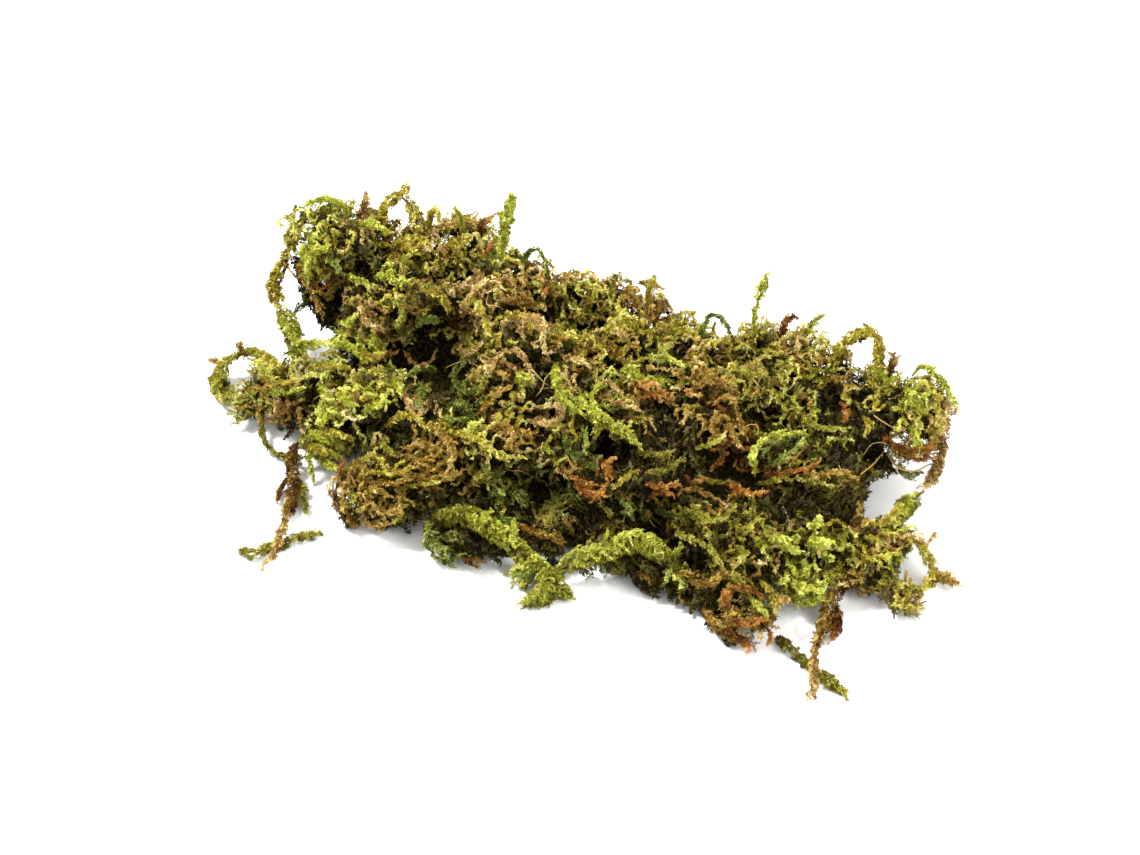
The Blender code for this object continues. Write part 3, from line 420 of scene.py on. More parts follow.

# Shoots that hang below the mat's edge or stand out from a strand there: colour family, radius in mm, share
# of painted light in their colour (painted shade below 1), mm right, up the view and over the floor of the
# points that they pass
HANGING = (
    ("old", 1.5, 0.85, ((-57, 34, 16), (-55, 30, 14), (-52, 27, 12), (-49, 23, 10))),
    ("old", 1.5, 0.85, ((-53, 35, 16), (-51, 31, 14), (-49, 27, 12), (-46, 23, 10))),
    ("old", 1.5, 0.85, ((-49, 35, 16), (-48, 31, 14), (-46, 27, 13), (-44, 24, 12))),
    ("brown", 0.8, 1.2, ((-59, 34, 19), (-56.5, 30.5, 18), (-53, 28.8, 17.5), (-49.5, 31, 18.5))),
    ("rust", 0.7, 1.2, ((-59.5, 35.5, 19.5), (-56.5, 32, 18.5), (-53.5, 30, 18), (-50.5, 32.5, 19))),
    ("brown", 0.9, 0.9, ((-57, 30, 17.5), (-54.5, 27, 16), (-53, 23.5, 14))),
    ("old", 1.6, 0.85, ((-59.5, 37, 18), (-58, 33.5, 16.5), (-56, 30.5, 15))),
    ("old", 1.7, 0.85, ((-56, 33, 15.5), (-54, 29, 13.5), (-51.5, 25, 11.5), (-49, 21.5, 9.5))),
    ("old", 1.7, 0.85, ((-51, 33, 15.5), (-49.5, 29, 13.5), (-48, 25, 12), (-47.5, 21.5, 10))),
    ("old", 1.6, 0.85, ((-54, 27, 12), (-51, 24, 10.5), (-49, 20.5, 9))),
    ("green", 1.5, 0.9, ((-57, 37, 20), (-55.5, 34, 18.5), (-54, 31.5, 17.5))),
    ("lime", 1.4, 0.9, ((-58, 37, 21), (-57, 34, 20), (-56, 32, 19))),
    ("olive", 1.4, 0.9, ((-54, 36.5, 20), (-52.5, 34, 19), (-50, 32.5, 18.5))),
    ("old", 1.4, 0.85, ((-55, 28, 12), (-52, 25, 11), (-48.5, 22, 10), (-46, 20, 9))),
    ("old", 1.3, 0.85, ((-57.5, 31, 14), (-56, 28, 12.5), (-53, 25.5, 11))),
    ("old", 1.4, 0.85, ((-51, 29, 13), (-49, 25.5, 12), (-47, 21, 10))),
    ("old", 1.4, 0.85, ((-47, 33, 15), (-46, 29, 14), (-44, 26, 13))),
    # far-left fringe round the loop
    ("gold", 1.6, 1.2, ((-61.5, 12.5, 5.5), (-65, 13.5, 5.5), (-68, 14, 5))),
    ("gold", 1.5, 1.2, ((-62, 10, 5.5), (-65.5, 10, 5), (-68.5, 9, 4.5), (-71.5, 8.5, 4))),
    ("olive", 1.4, 1.1, ((-62.5, 14.5, 6), (-66, 15.2, 6), (-69, 14.8, 5.5))),
    ("olive", 1.5, 1.0, ((-64, 8.5, 6), (-68, 7, 5.5), (-71.5, 4, 4))),
    ("green", 1.2, 0.9, ((-63.5, 6.5, 4.5), (-67.5, 5, 4), (-71.5, 2.5, 3))),
    ("olive", 1.1, 0.9, ((-63, 5, 4), (-67, 3.5, 3.5), (-71, 2, 2.5))),
    ("gold", 1.5, 1.2, ((-64, 12, 5.5), (-66.5, 12.4, 5.2), (-68.2, 11.6, 5))),
    ("green", 1.2, 0.7, ((-60, 24.5, 11), (-58, 26.5, 12), (-55.5, 28.5, 13))),
    ("old", 1.5, 0.85, ((-59, 32, 15.5), (-57.5, 29.5, 14), (-55.5, 27, 12.5))),
    ("old", 1.6, 0.85, ((-57, 29, 13.5), (-54.5, 26, 12), (-52.5, 23, 10.5))),
    # cone at the right end
    ("green", 1.4, 1.1, ((63, -28, 6), (65.5, -31.5, 4.5), (66.8, -36, 2.3))),
    ("olive", 1.3, 1.1, ((61.5, -28, 6), (64, -32, 4.5), (66, -35, 2.3))),
    # below the right cushion
    ("rust", 0.9, 0.9, ((62, 2.5, 18), (63.5, -1.5, 17.5), (67, -3.8, 17.5), (71, -4, 17.5), (74, -2, 18))),
    ("brown", 1.0, 0.9, ((62.5, 0.5, 17), (65, -3.5, 16.5), (69, -5.3, 16.5), (73, -4.3, 16.5))),
    ("rust", 0.8, 0.9, ((63, -1, 16), (66, -4.6, 16), (70, -6, 16), (72.5, -5.6, 16))),
    ("old", 1.6, 0.85, ((60, -2, 11), (63, -6, 10), (66, -9, 9))),
    ("green", 1.2, 0.9, ((66, -7, 11), (68, -9, 10.5), (70.5, -9.5, 10))),
    # lower edge of the front lobes
    ("old", 1.7, 0.85, ((23, -30, 6), (25.5, -34, 4), (28, -38.5, 2))),
    ("old", 1.7, 0.85, ((26, -32, 6), (28.5, -37, 3.5), (31, -41.5, 1.8))),
    ("brown", 1.4, 0.9, ((25, -35, 4.5), (28, -39, 3), (31, -42, 2))),
    ("rust", 1.2, 0.9, ((29, -39, 4), (32, -41.5, 3), (35, -43, 2))),
    ("old", 1.6, 0.85, ((-47, -12, 6), (-48, -15.5, 4), (-46, -18.5, 2))),
    ("brown", 1.4, 0.9, ((-49, -11, 6), (-49.5, -14, 4.5), (-47.5, -17, 3), (-44, -19.5, 2))),
    ("old", 1.6, 0.85, ((-44, -15, 5), (-41, -18, 3), (-37, -20, 1.8))),
    # side shoots of the front strands
    ("lime", 0.9, 1.0, ((-19, -19.2, 11), (-18.3, -17.4, 12.5), (-17, -16.6, 13.5))),
    ("lime", 0.9, 1.0, ((-13.5, -22.5, 8.5), (-12.3, -20.5, 10), (-12.6, -18.6, 11.5))),
    ("lime", 0.9, 1.05, ((6.5, -24, 10.5), (6, -22.3, 12), (6.6, -20.6, 13.5))),
    ("lime", 0.9, 0.8, ((17.5, -24.5, 10.5), (19.5, -25, 10), (21.3, -24, 10))),
    ("green", 0.9, 0.9, ((-8.5, -28, 5), (-10.5, -29.5, 4), (-12.3, -29.6, 3))),
    # under the front strands
    ("old", 1.6, 0.85, ((-14, -20, 7), (-11, -23, 5), (-8.5, -25.5, 3.5))),
    ("old", 1.6, 0.85, ((-9, -20, 7), (-6, -23, 5), (-4, -26, 3.5))),
    ("brown", 1.1, 0.8, ((-12, -19, 8), (-8, -21, 7), (-3, -22.5, 6))),
    ("green", 2.0, 0.9, ((-28.5, -18, 7.5), (-29.5, -21, 5.5), (-28, -24.5, 3.5), (-24.5, -26.5, 2.5))),
    ("old", 1.8, 0.85, ((-26, -19, 7), (-26.5, -22, 5), (-24, -25, 3))),
    ("old", 1.8, 0.85, ((-23, -20, 8), (-23, -23, 5), (-20.5, -25.5, 3))),
    ("brown", 1.3, 0.9, ((-25, -24, 4), (-22.5, -26, 3), (-20, -27, 2.5))),
    ("old", 1.6, 0.85, ((-19, -21, 7), (-17, -24, 4.5), (-15, -26, 3))),
    ("lime", 2.2, 0.65, ((-8.5, -27, 4.5), (-6.5, -29, 3.5), (-5.2, -31.5, 2.8))),
    ("lime", 1.9, 0.65, ((-4, -27.5, 4.5), (-4, -29.5, 3.3), (-3.2, -32, 2.3))),
    ("green", 1.6, 0.9, ((0, -26, 5), (1.5, -27.5, 3.5), (2.5, -29, 1.8))),
    ("green", 1.6, 0.9, ((4, -25, 6), (5, -27, 4), (5.5, -29, 1.8))),
    ("olive", 1.5, 0.9, ((8, -24.5, 7), (8.5, -27, 4.5), (8, -29, 2))),
    ("lime", 1.8, 0.9, ((-9, -27, 5), (-11, -28.5, 3.5), (-13, -30, 1.8))),
    ("lime", 1.6, 0.9, ((-8, -28, 4), (-10, -30, 2.8), (-11, -31.5, 1.6))),
    ("old", 1.7, 0.85, ((10, -25.5, 7), (12.5, -28.5, 4), (14, -31.5, 1.8))),
    ("old", 1.7, 0.85, ((13, -25, 8), (15.5, -28.5, 4.5), (17, -32.5, 1.8))),
    ("brown", 1.5, 0.9, ((12, -28, 5), (14.5, -30, 4), (18, -31, 3))),
    ("old", 1.7, 0.85, ((17, -26, 7), (19, -30, 4), (20.5, -33.5, 1.8))),
    ("old", 1.6, 0.85, ((20, -28, 6), (22.5, -32, 3.5), (24.5, -35.5, 1.8))),
)

# Bare stems that cross the open places: mm right and up the view of both ends, mm that they arch, colour
# family
BARE_STEMS = (
    (-27, 12, -22, 15, 1.2, "brown"), (-9, 12, -5, 9, 1.4, "tan"), (-8, 7, -5, 12, 1.2, "tan"),
    (-57, 31, -51, 28.5, 1.4, "brown"), (-54, 25, -49, 28, 1.5, "tan"), (59, -5, 64, -3, 1.4, "tan"),
    (58, -9, 63, -6, 1.4, "brown"), (-2, -5, 2, -8, 1.2, "brown"), (-18, 28, -15, 25, 1.2, "tan"),
    (61, 3, 66, 0, 1.5, "brown"), (-14, -8, -8, -10, 1.2, "brown"),
)

# Loose shoots: node, colour family, points (mm right, mm up the view, mm over the floor), radius in mm at
# each
SHOOTS = (
    ("left_upright_shoot", "lime", ((-16, 36, 29), (-15, 40, 33), (-14.5, 43.5, 37), (-13.5, 47, 40),
     (-13.5, 49.5, 43)), (0.9, 1.2, 1.6, 1.4, 0.8)),
    ("right_upright_shoot", "lime", ((37, 18.5, 26), (37, 24, 32), (38, 27.5, 36), (39.5, 32, 40)),
     (0.4, 0.6, 1.4, 0.8)),
    ("left_rising_shoot", "gold", ((-43, 41, 27), (-40.5, 46, 33), (-38.5, 48.5, 35), (-35.5, 51, 37.5)),
     (1.2, 1.5, 1.5, 1.0)),
    ("left_drooping_shoot", "gold", ((-36.5, 49, 35), (-34.5, 47, 34), (-33, 43.5, 31.5),
     (-33.5, 39.5, 27)), (1.2, 1.6, 1.5, 1.1)),
    ("right_rising_shoot", "gold", ((53, 13, 23.5), (55, 17, 28.5), (57, 19, 31), (60, 20, 32)),
     (1.3, 1.6, 1.6, 1.3)),
    ("right_drooping_shoot", "gold", ((59, 22, 34.5), (61, 20, 33), (62, 17.5, 31), (62.5, 12.5, 26.5)),
     (1.1, 1.6, 1.6, 1.2)),
    ("left_knob_sprig", "tan", ((-46, 44.5, 30), (-44.5, 47, 33.5), (-43.5, 48.5, 35.5)), (0.7, 0.9, 1.5)),
    ("right_knob_sprig", "tan", ((64, 10, 25.5), (65, 14, 29.5), (65.5, 16, 32)), (0.7, 0.9, 1.5)),
    ("left_outer_shoot", "gold", ((-57.5, 43.5, 25), (-60, 42, 23), (-61, 37.5, 20), (-63, 33.5, 17),
     (-64, 30, 14), (-62.6, 25.6, 11.3)), (1.2, 1.5, 1.6, 1.5, 1.8, 1.4)),
    ("left_lime_shoot", "lime", ((-62, 25.5, 11), (-61, 23, 10), (-59.5, 19.5, 9), (-58, 15, 8)),
     (1.7, 2.1, 2.1, 1.7)),
    ("right_outer_shoot", "tan", ((76, 5.5, 20), (76, 1, 18), (75, -3.5, 15), (74, -8, 12),
     (71.4, -12.4, 9.4)), (1.1, 1.4, 1.5, 1.4, 1.3)),
    ("right_lime_shoot", "lime", ((71.5, -12.5, 9), (69, -14.5, 8), (67, -16.5, 8), (64, -20.5, 7.5)),
     (1.8, 2.2, 2.1, 1.5)),
    ("far_left_loop", "olive", ((-63.5, 14.5, 7), (-68, 16.5, 5.5), (-71, 16, 5), (-74, 14, 4),
     (-75.5, 11, 3), (-74, 8, 3), (-70.5, 6, 4)), (1.0, 1.0, 0.9, 1.3, 2.1, 2.2, 1.7)),
    ("far_left_sprig", "brown", ((-74.5, 13.5, 3.5), (-76, 14.5, 3.5), (-77.5, 15, 3)), (0.9, 0.8, 0.5)),
    ("left_fringe_knob", "brown", ((-69.5, 16, 6.5), (-71, 17.5, 8)), (0.8, 1.1)),
    ("far_right_loop", "gold", ((65, -22, 8), (69, -22.5, 7), (71.5, -25.5, 5.5), (72.5, -28.5, 4),
     (71.5, -31.5, 3), (68.5, -33.5, 3)), (0.7, 0.9, 1.1, 1.3, 1.4, 1.2)),
    ("far_right_sprig", "brown", ((71.8, -30, 3.4), (75, -30, 2.5), (77.5, -31, 2.5)), (1.3, 1.4, 0.8)),
    ("left_ring_shoot", "olive", ((-65.5, 4, 4), (-65.5, -0.5, 3), (-64, -3.5, 2), (-61.5, -5, 1.5),
     (-57, -6, 2.5)), (0.8, 0.9, 0.9, 0.9, 0.8)),
    ("left_trailing_shoot", "brown", ((-57.5, -2.5, 6), (-59, -5.5, 4), (-58.5, -9, 2.5), (-58.5, -14, 2),
     (-59.5, -18.5, 2)), (1, 1.3, 1.6, 1.5, 1)),
    ("left_trailing_tip", "tan", ((-59.5, -18, 2.2), (-60.3, -22, 3.6), (-61.5, -25, 3.2),
     (-63.5, -27.5, 1.2)), (0.8, 1, 1.1, 0.8)),
    ("left_trailing_side", "olive", ((-57.5, -10, 1.8), (-56.5, -12.5, 1.5), (-56, -16, 1.3)), (1, 1.2, 0.8)),
    ("left_trailing_hook", "brown", ((-59.5, -10, 1.5), (-61, -12, 1.3), (-61.5, -14.5, 1.1)),
     (0.7, 0.8, 0.6)),
    ("left_crossing_shoot", "olive", ((-69, -24.5, 0.9), (-65.5, -25, 1.3), (-61, -23.5, 1.2),
     (-57, -22, 1.3), (-52.5, -21, 0.8)), (1.0, 1.4, 1.2, 1.5, 0.8)),
    ("right_trailing_shoot", "brown", ((56.5, -29.5, 5), (52.5, -33, 4.5), (51, -36, 3), (49.5, -40, 2.2),
     (48, -43.5, 2.2)), (1.1, 1.5, 1.6, 1.5, 1)),
    ("right_trailing_tip", "tan", ((48, -43, 2.4), (47.5, -46.5, 3.6), (47.5, -50, 3), (47, -52.5, 1.3)),
     (0.8, 1.1, 1.2, 0.9)),
    ("right_trailing_side", "rust", ((52.5, -35, 2.2), (53, -38, 1.6), (52, -42, 1.3)), (0.9, 1.3, 0.8)),
    ("right_crossing_shoot", "olive", ((40.5, -41.5, 0.9), (43.5, -44.5, 1.3), (46.5, -47, 1.2),
     (50, -49.5, 1.3), (54, -52.5, 0.8)), (1.0, 1.5, 1.2, 1.5, 0.8)),
    ("front_left_strand", "lime", ((-29, -18.5, 6.5), (-26, -17.5, 9.5), (-22, -17.5, 11),
     (-17.5, -19.5, 9.5), (-13, -23, 7), (-9.5, -26.5, 4.5), (-6, -29, 3)),
     (1.4, 1.9, 2.0, 2.3, 2.1, 2.3, 1.8)),
    ("front_right_strand", "lime", ((-4, -28.5, 3.5), (1, -26, 6), (6, -24.5, 9), (11.5, -22.5, 11.5),
     (16.5, -24, 10.5), (20, -27.5, 8), (21.5, -30.5, 5.5)), (1.8, 2.3, 2.1, 2.6, 2.3, 1.8, 1.4)),
    ("front_tail_left", "lime", ((-5.5, -31, 2.6), (-6, -33, 2.4), (-8, -34, 2), (-10.5, -35, 1.4)),
     (2.9, 2.9, 2.1, 1.1)),
    ("front_tail_right", "lime", ((-4, -31.5, 2.2), (-2.5, -32.5, 1.8), (-1.5, -34, 1.2)), (2.2, 1.8, 1.0)),
    ("lime_sprig", "lime", ((-23.5, 40, 28), (-24, 44.5, 33), (-25.5, 47, 36)), (0.7, 0.8, 0.6)),
    ("curled_sprig", "gold", ((-31, 40.5, 29), (-30.5, 45, 34), (-29, 46, 35), (-28.5, 44.5, 34)),
     (0.9, 1.1, 1.1, 0.7)),
    ("brown_sprig", "brown", ((-20.5, 40, 28), (-19, 43.5, 32), (-17, 45, 33)), (0.8, 1.1, 0.8)),
    ("thin_arch", "green", ((-12, 34, 27.5), (-9.5, 37.5, 31), (-7, 37, 31.5), (-5.5, 31.5, 27)),
     (0.7, 0.8, 0.8, 0.7)),
    ("middle_knob", "gold", ((14.5, 25, 25.5), (15.5, 29, 29.5), (16, 31.5, 32)), (0.9, 1.1, 1)),
    ("middle_arch", "green", ((25.5, 18.5, 25), (27.5, 23, 30), (30, 23.5, 30.5), (33, 18.5, 25)),
     (0.7, 0.8, 0.8, 0.7)),
    ("rust_sprig", "rust", ((42, 18.5, 25), (44, 23, 30), (45.5, 23.5, 31.5)), (0.8, 1, 0.7)),
    ("thin_sprig", "lime", ((47, 18.5, 25), (49, 22, 29.5), (51, 23.5, 32)), (0.7, 0.8, 0.6)),
    ("upper_left_frond", "lime", ((-47, 45.5, 32), (-50, 48, 34.5), (-54, 48.5, 34.5), (-58.5, 46.5, 32)),
     (0.7, 0.9, 0.9, 0.7)),
    ("right_frond", "lime", ((69, 11, 27), (71.5, 13, 29), (75, 10, 27), (77.5, 6.5, 24)),
     (0.8, 1, 1.1, 0.9)),
    ("left_bare_stem", "tan", ((-61.5, 35, 15), (-59, 32, 13), (-55.5, 29, 12), (-52, 29.5, 12),
     (-46.5, 31, 13)), (0.5, 0.6, 0.6, 0.6, 0.5)),
    ("right_bare_stem", "tan", ((64, -4.5, 13), (66, -7.5, 12), (69.5, -8.5, 12), (73.5, -6.5, 13)),
     (0.5, 0.6, 0.6, 0.5)),
)

# Loose shoots that change along their length: how much painted light their colour keeps at their start,
# middle and end (painted shade below 1), and how fresh their leaves are there
PAINTED_LIGHT_AND_FRESHNESS = {
    "front_left_strand": ((0.3, 0.9, 0.85), (0.4, 0.5, 0.5)),
    "front_right_strand": ((0.9, 1.0, 0.2), (0.5, 0.52, 0.35)),
    "front_tail_left": ((0.55, 0.6, 0.65), (0.5, 0.5, 0.45)),
    "front_tail_right": ((0.55, 0.6, 0.65), (0.5, 0.5, 0.45)),
    "far_left_loop": ((1.15, 1.15, 1.35), (0.45, 0.4, 0.8)),
    "far_left_sprig": ((1.1, 1.1, 1.2), (0.45, 0.5, 0.6)),
    "left_fringe_knob": ((0.8, 0.85, 0.9), (0.25, 0.3, 0.4)),
    "left_outer_shoot": ((1.3, 1.05, 1.15), (0.6, 0.42, 0.55)),
    "left_lime_shoot": ((1.0, 1.0, 0.95), (0.5, 0.55, 0.5)),
    "right_outer_shoot": ((1.3, 1.05, 0.95), (0.6, 0.45, 0.4)),
    "right_lime_shoot": ((0.95, 1.0, 0.9), (0.5, 0.5, 0.45)),
    "left_ring_shoot": ((0.95, 0.95, 0.9), (0.5, 0.45, 0.3)),
    "left_trailing_shoot": ((0.8, 0.75, 1.0), (0.15, 0.25, 0.6)),
    "left_trailing_tip": ((1.0, 1.0, 0.95), (0.5, 0.5, 0.5)),
    "left_trailing_side": ((0.9, 0.9, 0.9), (0.35, 0.4, 0.45)),
    "left_trailing_hook": ((0.8, 0.85, 0.9), (0.25, 0.3, 0.35)),
    "left_crossing_shoot": ((1.0, 0.95, 1.0), (0.45, 0.45, 0.4)),
    "right_trailing_shoot": ((0.75, 0.85, 1.0), (0.2, 0.4, 0.6)),
    "right_trailing_tip": ((1.0, 1.0, 0.95), (0.5, 0.5, 0.5)),
    "right_trailing_side": ((0.7, 0.65, 0.75), (0.3, 0.25, 0.35)),
    "right_crossing_shoot": ((0.85, 0.9, 0.95), (0.25, 0.4, 0.45)),
    "far_right_loop": ((1.2, 1.25, 1.35), (0.5, 0.5, 0.7)),
    "far_right_sprig": ((1.2, 1.25, 1.3), (0.6, 0.65, 0.7)),
    "right_rising_shoot": ((0.95, 1.0, 1.0), (0.4, 0.5, 0.5)),
    "right_drooping_shoot": ((1.0, 1.0, 0.95), (0.55, 0.5, 0.45)),
    "left_rising_shoot": ((0.95, 1.0, 1.0), (0.4, 0.5, 0.5)),
    "left_drooping_shoot": ((1.0, 0.95, 0.9), (0.55, 0.5, 0.45)),
    "left_knob_sprig": ((0.85, 0.85, 0.95), (0.25, 0.3, 0.4)),
    "right_knob_sprig": ((0.85, 0.85, 0.95), (0.25, 0.3, 0.4)),
    "rust_sprig": ((0.8, 0.85, 0.95), (0.35, 0.4, 0.45)),
    "brown_sprig": ((0.8, 0.8, 0.85), (0.3, 0.35, 0.4)),
}

# One row of each table that the growth works on: a shoot, and a straight leafy length of one
# A shoot's last field scales its place up the painted-shade palette: painted light above 1, painted shade
# below
FROND = np.dtype(
    [("start", "f8", 3), ("way", "f8", 3), ("kind", "i4"), ("shoot", "i4")]
    + [(name, "f8") for name in ("length", "depth", "top", "droop", "bend", "hook", "wobble", "age", "tint",
                                 "branch", "gap", "roll", "angle", "leaf", "width", "spread", "pitch", "stem",
                                 "curl", "bare", "dim")])
AXIS = np.dtype(
    [(name, "f8", 3) for name in ("start", "way", "bend", "side")]
    + [(name, "f8") for name in ("length", "leaf", "width", "spread", "pitch", "shrink", "age", "run")]
    + [("owner", "i4")])


# ---------------------------------------------------------------- vectors

def unit(vectors):
    return vectors / np.maximum(np.linalg.norm(vectors, axis=-1, keepdims=True), 1e-9)


def dot(first, second):
    return (first * second).sum(-1, keepdims=True)


def across_to(vectors, axis):
    """The unit part of the vectors that is square to the axis."""
    return unit(vectors - axis * dot(vectors, axis))


def turned(vectors, axis, angle):
    """Vectors turned round unit axes by angles in radians."""
    angle = np.asarray(angle)[..., None]
    return (vectors * np.cos(angle) + np.cross(axis, vectors) * np.sin(angle)
            + axis * dot(axis, vectors) * (1 - np.cos(angle)))


def place(across, up, height):
    """The point seen at (across, up) in the photograph, at that height over the floor."""
    depth = (up - height * math.cos(VIEW_TILT)) / math.sin(VIEW_TILT)
    return np.array((across, depth, height))


# ---------------------------------------------------------------- the mat's skin

class Skin:
    """The CAD mat as something that shoots can be grown on: rays find spots on it, and a grid holds the
    height over it, below zero inside, with the way out."""

    def __init__(self, mesh):
        mesh.calc_loop_triangles()
        points = np.empty(len(mesh.vertices) * 3)
        mesh.vertices.foreach_get("co", points)
        self.points = points.reshape(-1, 3) / MM
        corners = np.array([triangle.vertices[:] for triangle in mesh.loop_triangles])
        normals = np.cross(self.points[corners[:, 1]] - self.points[corners[:, 0]],
                           self.points[corners[:, 2]] - self.points[corners[:, 0]])
        self.areas = np.linalg.norm(normals, axis=1) / 2
        self.normals = unit(normals)
        under = self.points[corners][:, :, 2].max(1) < 0.01
        self.corners = corners[~under]
        self.areas = self.areas[~under]
        self.normals = self.normals[~under]
        self.under = corners[under]
        self.tree = BVHTree.FromPolygons(self.points.tolist(), self.corners.tolist())
        self.measure()

    def measure(self):
        """Fills the grid with the height over the skin, smoothed once, and its slopes."""
        low = self.points.min(0) - (6, 6, 9)
        high = self.points.max(0) + 6
        self.low = low
        shape = np.ceil((high - low) / FIELD_CELL).astype(int) + 1
        inside = np.zeros(shape, bool)
        heights = np.empty(shape)
        levels = low[2] + np.arange(shape[2]) * FIELD_CELL
        for i in range(shape[0]):
            for j in range(shape[1]):
                x, y = low[0] + i * FIELD_CELL, low[1] + j * FIELD_CELL
                inside[i, j] = self.column(x, y, levels)
                for k in range(shape[2]):
                    heights[i, j, k] = self.tree.find_nearest((x, y, levels[k]))[3]
        heights[inside] *= -1
        for axis in range(3):
            heights = 0.5 * heights + 0.25 * (np.roll(heights, 1, axis) + np.roll(heights, -1, axis))
        slopes = np.gradient(heights, FIELD_CELL)
        self.grid = np.stack([heights, *slopes], -1)

    def column(self, x, y, levels):
        """Which of the levels over (x, y) are inside, the floor counted as solid."""
        crossings = []
        top = Vector((x, y, OVERHEAD))
        while True:
            hit = self.tree.ray_cast(top, Vector((0, 0, -1)))
            if hit[0] is None:
                break
            crossings.append(hit[0].z)
            top = Vector((x, y, hit[0].z - 0.01))
        state = np.zeros(len(levels), bool)
        for crossing in crossings:
            state ^= levels < crossing
        return state

    def at(self, where):
        """Heights over the skin and the ways out at points of any shape (..., 3)."""
        cell = (where - self.low) / FIELD_CELL
        limit = np.array(self.grid.shape[:3]) - 1.001
        cell = np.clip(cell, 0, limit)
        base = cell.astype(int)
        part = cell - base
        total = 0
        for corner in np.ndindex(2, 2, 2):
            weight = np.prod(np.where(corner, part, 1 - part), -1, keepdims=True)
            index = base + np.array(corner)
            total = total + weight * self.grid[index[..., 0], index[..., 1], index[..., 2]]
        return total[..., 0], unit(total[..., 1:])

    def spot(self, across, up):
        """Where the photograph's line of sight meets the skin, or the place on the skin nearest to it."""
        start = VIEW_RIGHT * across + VIEW_UP * up - VIEW_IN * SIGHT_START
        hit = self.tree.ray_cast(Vector(start), Vector(VIEW_IN))[0]
        if hit is None:
            hit = self.tree.find_nearest(Vector(start + VIEW_IN * SIGHT_START))[0]
        return np.array(hit)

    def seen_depth(self, across, up):
        """How far along the line of sight the skin is, or None beside it."""
        start = VIEW_RIGHT * across + VIEW_UP * up - VIEW_IN * SIGHT_START
        hit = self.tree.ray_cast(Vector(start), Vector(VIEW_IN))[0]
        return None if hit is None else np.array(hit) @ VIEW_IN

    def scatter(self, count):
        """Random spots, spread evenly over the skin."""
        face = rng.choice(len(self.areas), count, p=self.areas / self.areas.sum())
        mix = np.sort(rng.random((count, 2)), axis=1)
        weights = np.stack([mix[:, 0], mix[:, 1] - mix[:, 0], 1 - mix[:, 1]], 1)
        spots = (self.points[self.corners[face]] * weights[..., None]).sum(1)
        return spots, self.normals[face]


# ---------------------------------------------------------------- tufts and shoots on the mat

def seen_at(where):
    """(mm right, mm up the view) of points."""
    return np.stack([where @ VIEW_RIGHT, where @ VIEW_UP], -1)


def in_hollow(where, share):
    """Whether a place is seen in a hollow, of whose radius that share counts."""
    across, up = seen_at(where)
    return any(math.hypot(across - x, up - y) < share * radius for x, y, radius in HOLLOWS)


def lay_tufts(skin):
    """All tufts as (spot, flow, size, kind, style, lift): the chosen ones first, then fillers between them
    that take after their neighbours."""
    tufts = []
    for across, up, size, kind, flow, style, lift in TUFTS:
        angle = math.radians(flow)
        flow_way = VIEW_RIGHT * math.cos(angle) + VIEW_UP * math.sin(angle)
        tufts.append((skin.spot(across, up), flow_way, size, kind, style, lift))
    chosen_spots = np.array([tuft[0] for tuft in tufts])
    for spot, out in zip(*skin.scatter(FILLER_TRIES)):
        gaps = np.linalg.norm(np.array([tuft[0] for tuft in tufts]) - spot, axis=1)
        if gaps.min() < TUFT_SPACING * rng.uniform(0.85, 1.15) or rng.random() < FILLER_SKIPPED:
            continue
        facing = out @ -VIEW_IN > 0.1
        if facing and in_hollow(spot, 0.8):
            continue
        near = np.argsort(np.linalg.norm(chosen_spots - spot, axis=1))[:4]
        _, flow, _, kind, style, lift = tufts[near[min(int(rng.exponential(0.8)), 3)]]
        flow = turned(flow, out, rng.normal(0, 0.6) if facing else rng.uniform(-math.pi, math.pi))
        size = rng.uniform(6.5, 9.0)
        if rng.random() >= 0.75:
            kind = rng.choice(FRESH_STRAYS)
        if rng.random() >= 0.5:
            style = ("rope", "curl", "crumple", "feather")[rng.integers(0, 4)]
        tufts.append((spot, flow, size, kind, style, 0.6 * lift + rng.normal(0, 0.6)))
    return tufts


def new_frond(style_name, kind, start, way, length):
    """A shoot of that style and colour family, with its own small differences."""
    style = dict(zip(STYLE_FIELDS, STYLES[style_name]))
    row = np.zeros((), FROND)
    row["start"], row["way"], row["length"] = start, way, length
    row["kind"] = KINDS.index(kind)
    row["age"] = rng.uniform(0.25, 0.75)
    row["tint"] = rng.uniform(0, 2 * math.pi)
    row["bend"] = rng.normal(0, style["bend"])
    row["hook"] = rng.choice((-1, 1)) * rng.uniform(0.4, 1.0) * style["hook"]
    row["branch"] = style["branch"] * rng.uniform(0.8, 1.2)
    row["leaf"] = style["leaf"] * rng.uniform(0.9, 1.15)
    for name in ("wobble", "gap", "width", "pitch", "curl"):
        row[name] = style[name]
    for name in ("roll", "angle", "spread"):
        row[name] = math.radians(style[name])
    row["stem"] = STEM_RADIUS
    row["bare"] = BARE_FOOT
    # old shoots start lower on the painted-shade palette, so they are drawn darker
    row["dim"] = OLD_LIGHT if kind == "old" else 1.0
    row["shoot"] = ON_MAT
    return row


def over_gap(spines):
    """Which shoots run over one of the gaps, from the place where they leave the mat."""
    seen = seen_at(spines[:, ROOT_STEPS:])
    return np.any([np.linalg.norm(seen - np.array((x, y)), axis=-1).min(1) < radius + GAP_MARGIN
                   for x, y, radius in GAPS], 0)


